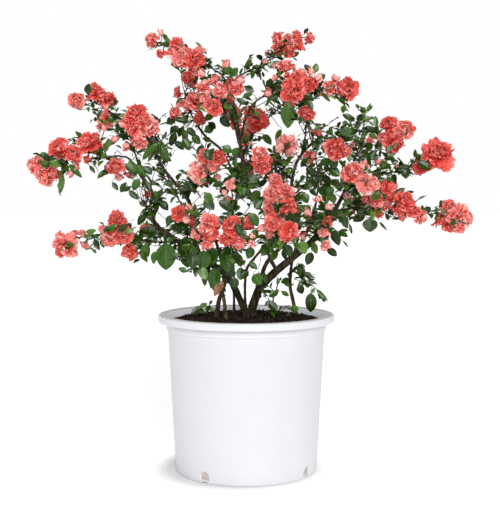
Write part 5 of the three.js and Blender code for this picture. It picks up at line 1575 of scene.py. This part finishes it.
def finish(name, tones, grain, roughness, relief=0.0, stretch=(1, 1, 1), **sockets):
    """A surface whose colour runs between its tones, with uneven gloss and a fine relief."""
    material = bpy.data.materials.new(name)
    material.use_nodes = True
    nodes, join = material.node_tree.nodes, material.node_tree.links.new
    shader = set_inputs(nodes["Principled BSDF"], **sockets)
    spot = nodes.new("ShaderNodeTexCoord")
    mapping = set_inputs(nodes.new("ShaderNodeMapping"), Scale=stretch)
    join(spot.outputs["Object"], mapping.inputs["Vector"])
    noise = nodes.new("ShaderNodeTexNoise")
    set_inputs(noise, Scale=grain, Detail=GRAIN["detail"], Roughness=GRAIN["roughness"])
    join(mapping.outputs["Vector"], noise.inputs["Vector"])
    ramp = nodes.new("ShaderNodeValToRGB")
    elements = ramp.color_ramp.elements
    while len(elements) < len(tones):
        elements.new(0.5)
    stops = np.linspace(GRAIN["darkest"], GRAIN["lightest"], len(tones))
    for element, stop, tone in zip(elements, stops, tones):
        element.position = stop
        element.color = (*tone, 1)
    join(noise.outputs["Fac"], ramp.inputs["Fac"])
    join(ramp.outputs["Color"], shader.inputs["Base Color"])
    gloss = nodes.new("ShaderNodeMapRange")
    set_inputs(gloss, To_Min=roughness - GRAIN["gloss"], To_Max=roughness + GRAIN["gloss"])
    join(noise.outputs["Fac"], gloss.inputs["Value"])
    join(gloss.outputs["Result"], shader.inputs["Roughness"])
    if relief:
        bumps = nodes.new("ShaderNodeTexNoise")
        set_inputs(bumps, Scale=grain * RIPPLE["finer"], Detail=RIPPLE["detail"])
        join(mapping.outputs["Vector"], bumps.inputs["Vector"])
        bump = nodes.new("ShaderNodeBump")
        set_inputs(bump, Strength=RIPPLE["strength"], Distance=relief * MM)
        join(bumps.outputs["Fac"], bump.inputs["Height"])
        join(bump.outputs["Normal"], shader.inputs["Normal"])
    return material


def finishes_of(tones, **surface):
    """Finishes that differ only in their tones."""
    return [finish(name, pair, **surface) for name, pair in tones.items()]


# The plant
def grow_plant():
    """The limbs' lines, and the records of all twigs, leaves and blossoms."""
    limb_lines = {name: limb_line(name) for name in LIMBS}
    limbs = [{"line": limb_lines[name], "radius": limb_radius(name, 0)} for name in LIMBS]
    randoms = {name: np.random.default_rng(SEEDS["mass"] + i) for i, name in enumerate(MASSES)}
    skeletons = {name: mass_skeleton(name, limb_lines, randoms[name]) for name in MASSES}
    is_clear = make_room_test(skeletons, limbs)
    plant = {"leaves": [], "twigs": [], "petals": [], "sepals": [], "stamens": []}
    for i, (name, skeleton) in enumerate(skeletons.items()):
        mass, fine, stem = MASSES[name], randoms[name], skeleton["stem"]
        is_free = make_space(name, skeletons, is_clear)
        foot = STEM["foot"]
        if "on" in mass:
            foot = min(foot, limb_radius(mass["on"], mass["from"]) * 2)
        add_twig(plant, stem, foot, STEM["tip"])
        for head in skeleton["heads"]:
            add_blossom(plant, head, fine)
        grow_tufts(plant, name, i + 1, skeleton, is_free, fine)
        grow_sprigs(plant, stem, STEM["sprigs_from"], SPRIG["every"], is_free, fine)
        grow_shoots(plant, stem, is_free, fine)
        hang_leaves(plant, mass.get("leaves", []), skeleton["lines"], fine)
    for i, name in enumerate(LIMBS):
        if LIMBS[name]["thick"][0] < LIMB_SPRIGS["thinner_than"]:
            fine = np.random.default_rng(SEEDS["limb"] + i)
            grow_sprigs(plant, limb_lines[name], LIMB_SPRIGS["from"], LIMB_SPRIGS["every"], is_clear, fine)
    for sprout in SPROUTS:
        grow_sprout(plant, sprout)
    return limb_lines, plant


def grow_sprout(plant, sprout):
    fine = np.random.default_rng(SEEDS["sprout"])
    points = [place(spot) for spot in sprout["path"]]
    points[0][2] = soil_height(points[0])
    stem = smooth(points, SPROUT["steps"])
    add_twig(plant, stem, SPROUT["foot"], SPROUT["tip"])
    hang_leaves(plant, sprout["leaves"], [stem], fine)


def twig_part(twigs):
    parts = []
    for twig in twigs:
        radii = np.linspace(twig["foot"], twig["tip"], len(twig["line"])) / 2
        sides = STEM["sides"] if twig["foot"] > STEM["thicker_than"] else TWIG["sides"]
        parts.append(tube_mesh(twig["line"], radii, sides))
    return join_parts(parts)


def stamen_part(stamens):
    radii = [STAMEN["thick"], STAMEN["thick"], STAMEN["head"]]
    parts = []
    for foot, tip in stamens:
        line = np.array([foot, tip, tip + (tip - foot) * STAMEN["head_share"]])
        parts.append(tube_mesh(line, radii, TWIG["sides"]))
    return join_parts(parts)


def build_plant():
    limb_lines, plant = grow_plant()
    bark, young_bark, twig_bark = [finish(name, **look) for name, look in BARKS.items()]
    limbs = [limb_mesh(name, close_line(limb_lines[name]), SEEDS["bark"] + i) for i, name in enumerate(LIMBS)]
    make_piece("limbs", join_parts(limbs), [bark, young_bark], list(LIMBS))
    make_piece("twigs", twig_part(plant["twigs"]), [twig_bark], list(MASSES))
    greens = finishes_of(LEAF_TONES, **LEAF_SURFACE)
    reds = finishes_of(PETAL_TONES, **PETAL_SURFACE)
    large = [leaf for leaf in plant["leaves"] if leaf["length"] > RIBBED_FROM]
    small = [leaf for leaf in plant["leaves"] if leaf["length"] <= RIBBED_FROM]
    petals, half = plant["petals"], len(plant["petals"]) // 2
    points, faces, looks = petal_meshes(plant["sepals"])
    foliage = {
        "large_leaves": (leaf_meshes(large, True), greens),
        "small_leaves": (leaf_meshes(small, False), greens),
        "blossom_left": (petal_meshes(petals[:half]), reds),
        "blossom_right": (petal_meshes(petals[half:]), reds),
        "calyxes": ((points, faces, looks * 0), [finish("calyx", **CALYX_LOOK)]),
        "stamens": (stamen_part(plant["stamens"]), [finish("stamen", **STAMEN_LOOK)]),
    }
    for name, (part, finishes) in foliage.items():
        make_piece(name, part, finishes, list(MASSES))


def build_pot():
    walls = [finish(name, **look) for name, look in POT_LOOKS.items()]
    make_piece("pot_shell", pot_mesh(), walls, ["pot"])
    chips = finishes_of(CHIP_TONES, **CHIP_SURFACE)
    make_piece("soil_mound", soil_mesh(), [chips[0]], ["soil"])
    make_piece("bark_chips", chip_mesh(), chips, ["soil"])


# Stage
def add_sun(name, rise, turn, strength, softness):
    """Light from far away: its height above the floor and its turn to the right of the front, in degrees."""
    data = bpy.data.lights.new(name, "SUN")
    data.energy = strength
    data.angle = math.radians(softness)
    light = bpy.data.objects.new(name, data)
    light.rotation_euler = (math.radians(90 - rise), 0, math.radians(turn))
    bpy.context.scene.collection.objects.link(light)


def studio_world():
    """Plain white round the horizon and dimmer overhead, as in a white cove under a soft box."""
    world = bpy.data.worlds.new("studio")
    world.use_nodes = True
    nodes, join = world.node_tree.nodes, world.node_tree.links.new
    ways = nodes.new("ShaderNodeTexCoord")
    split = nodes.new("ShaderNodeSeparateXYZ")
    ramp = nodes.new("ShaderNodeMapRange")
    ramp.interpolation_type = "SMOOTHSTEP"
    set_inputs(ramp, From_Min=STUDIO["white_below"], From_Max=STUDIO["dim_above"])
    set_inputs(ramp, To_Min=1, To_Max=STUDIO["dim"])
    sky = set_inputs(nodes["Background"], Color=(1, 1, 1, 1))
    join(ways.outputs["Generated"], split.inputs["Vector"])
    join(split.outputs["Z"], ramp.inputs["Value"])
    join(ramp.outputs["Result"], sky.inputs["Strength"])
    return world


def floor_finish():
    """White that glows as the horizon does, and less in a ring round the pot's foot: a painted contact
    shadow, set off to the left.
    """
    white = finish("floor_white_painted_shadow", **FLOOR_LOOK)
    nodes, join = white.node_tree.nodes, white.node_tree.links.new
    spot = nodes.new("ShaderNodeTexCoord")
    shift = set_inputs(nodes.new("ShaderNodeMapping"), Location=(STUDIO["painted_shadow_aside"] * MM, 0, 0))
    reach = nodes.new("ShaderNodeVectorMath")
    reach.operation = "LENGTH"
    # Painted contact shadow: the glow drops to a low value in a ring round the pot's foot
    glow = nodes.new("ShaderNodeMapRange")
    set_inputs(glow, From_Min=BASE_RADIUS * MM, From_Max=(BASE_RADIUS + STUDIO["painted_shadow_ring"]) * MM)
    set_inputs(glow, To_Min=STUDIO["painted_shadow_glow"], To_Max=STUDIO["floor_glow"])
    join(spot.outputs["Object"], shift.inputs["Vector"])
    join(shift.outputs["Vector"], reach.inputs[0])
    join(reach.outputs["Value"], glow.inputs["Value"])
    join(glow.outputs["Result"], nodes["Principled BSDF"].inputs["Emission Strength"])
    return white


def build_stage():
    scene = bpy.context.scene
    scene.view_settings.view_transform = "Standard"
    scene.world = studio_world()
    mesh = bpy.data.meshes.new("floor")
    half = STUDIO["floor_half"]
    corners = [(-half, -half, 0), (half, -half, 0), (half, half, 0), (-half, half, 0)]
    mesh.from_pydata(corners, [], [(0, 1, 2, 3)])
    mesh.materials.append(floor_finish())
    floor = bpy.data.objects.new("floor", mesh)
    scene.collection.objects.link(floor)
    add_sun("key", STUDIO["key_rise"], STUDIO["key_turn"], STUDIO["key_strength"], STUDIO["key_softness"])


def add_camera():
    data = bpy.data.cameras.new("camera")
    data.sensor_width = SENSOR
    data.lens = PICTURE["focal_pixels"] * SENSOR / PICTURE["height"]
    camera = bpy.data.objects.new("camera", data)
    camera.location = (CAMERA["side"] * MM, -CAMERA["back"] * MM, CAMERA["up"] * MM)
    camera.rotation_euler = (math.pi / 2 - CAMERA["pitch"], 0, 0)
    bpy.context.scene.collection.objects.link(camera)
    bpy.context.scene.camera = camera


add_camera()
build_stage()
build_pot()
build_plant()
bpy.context.view_layer.update()
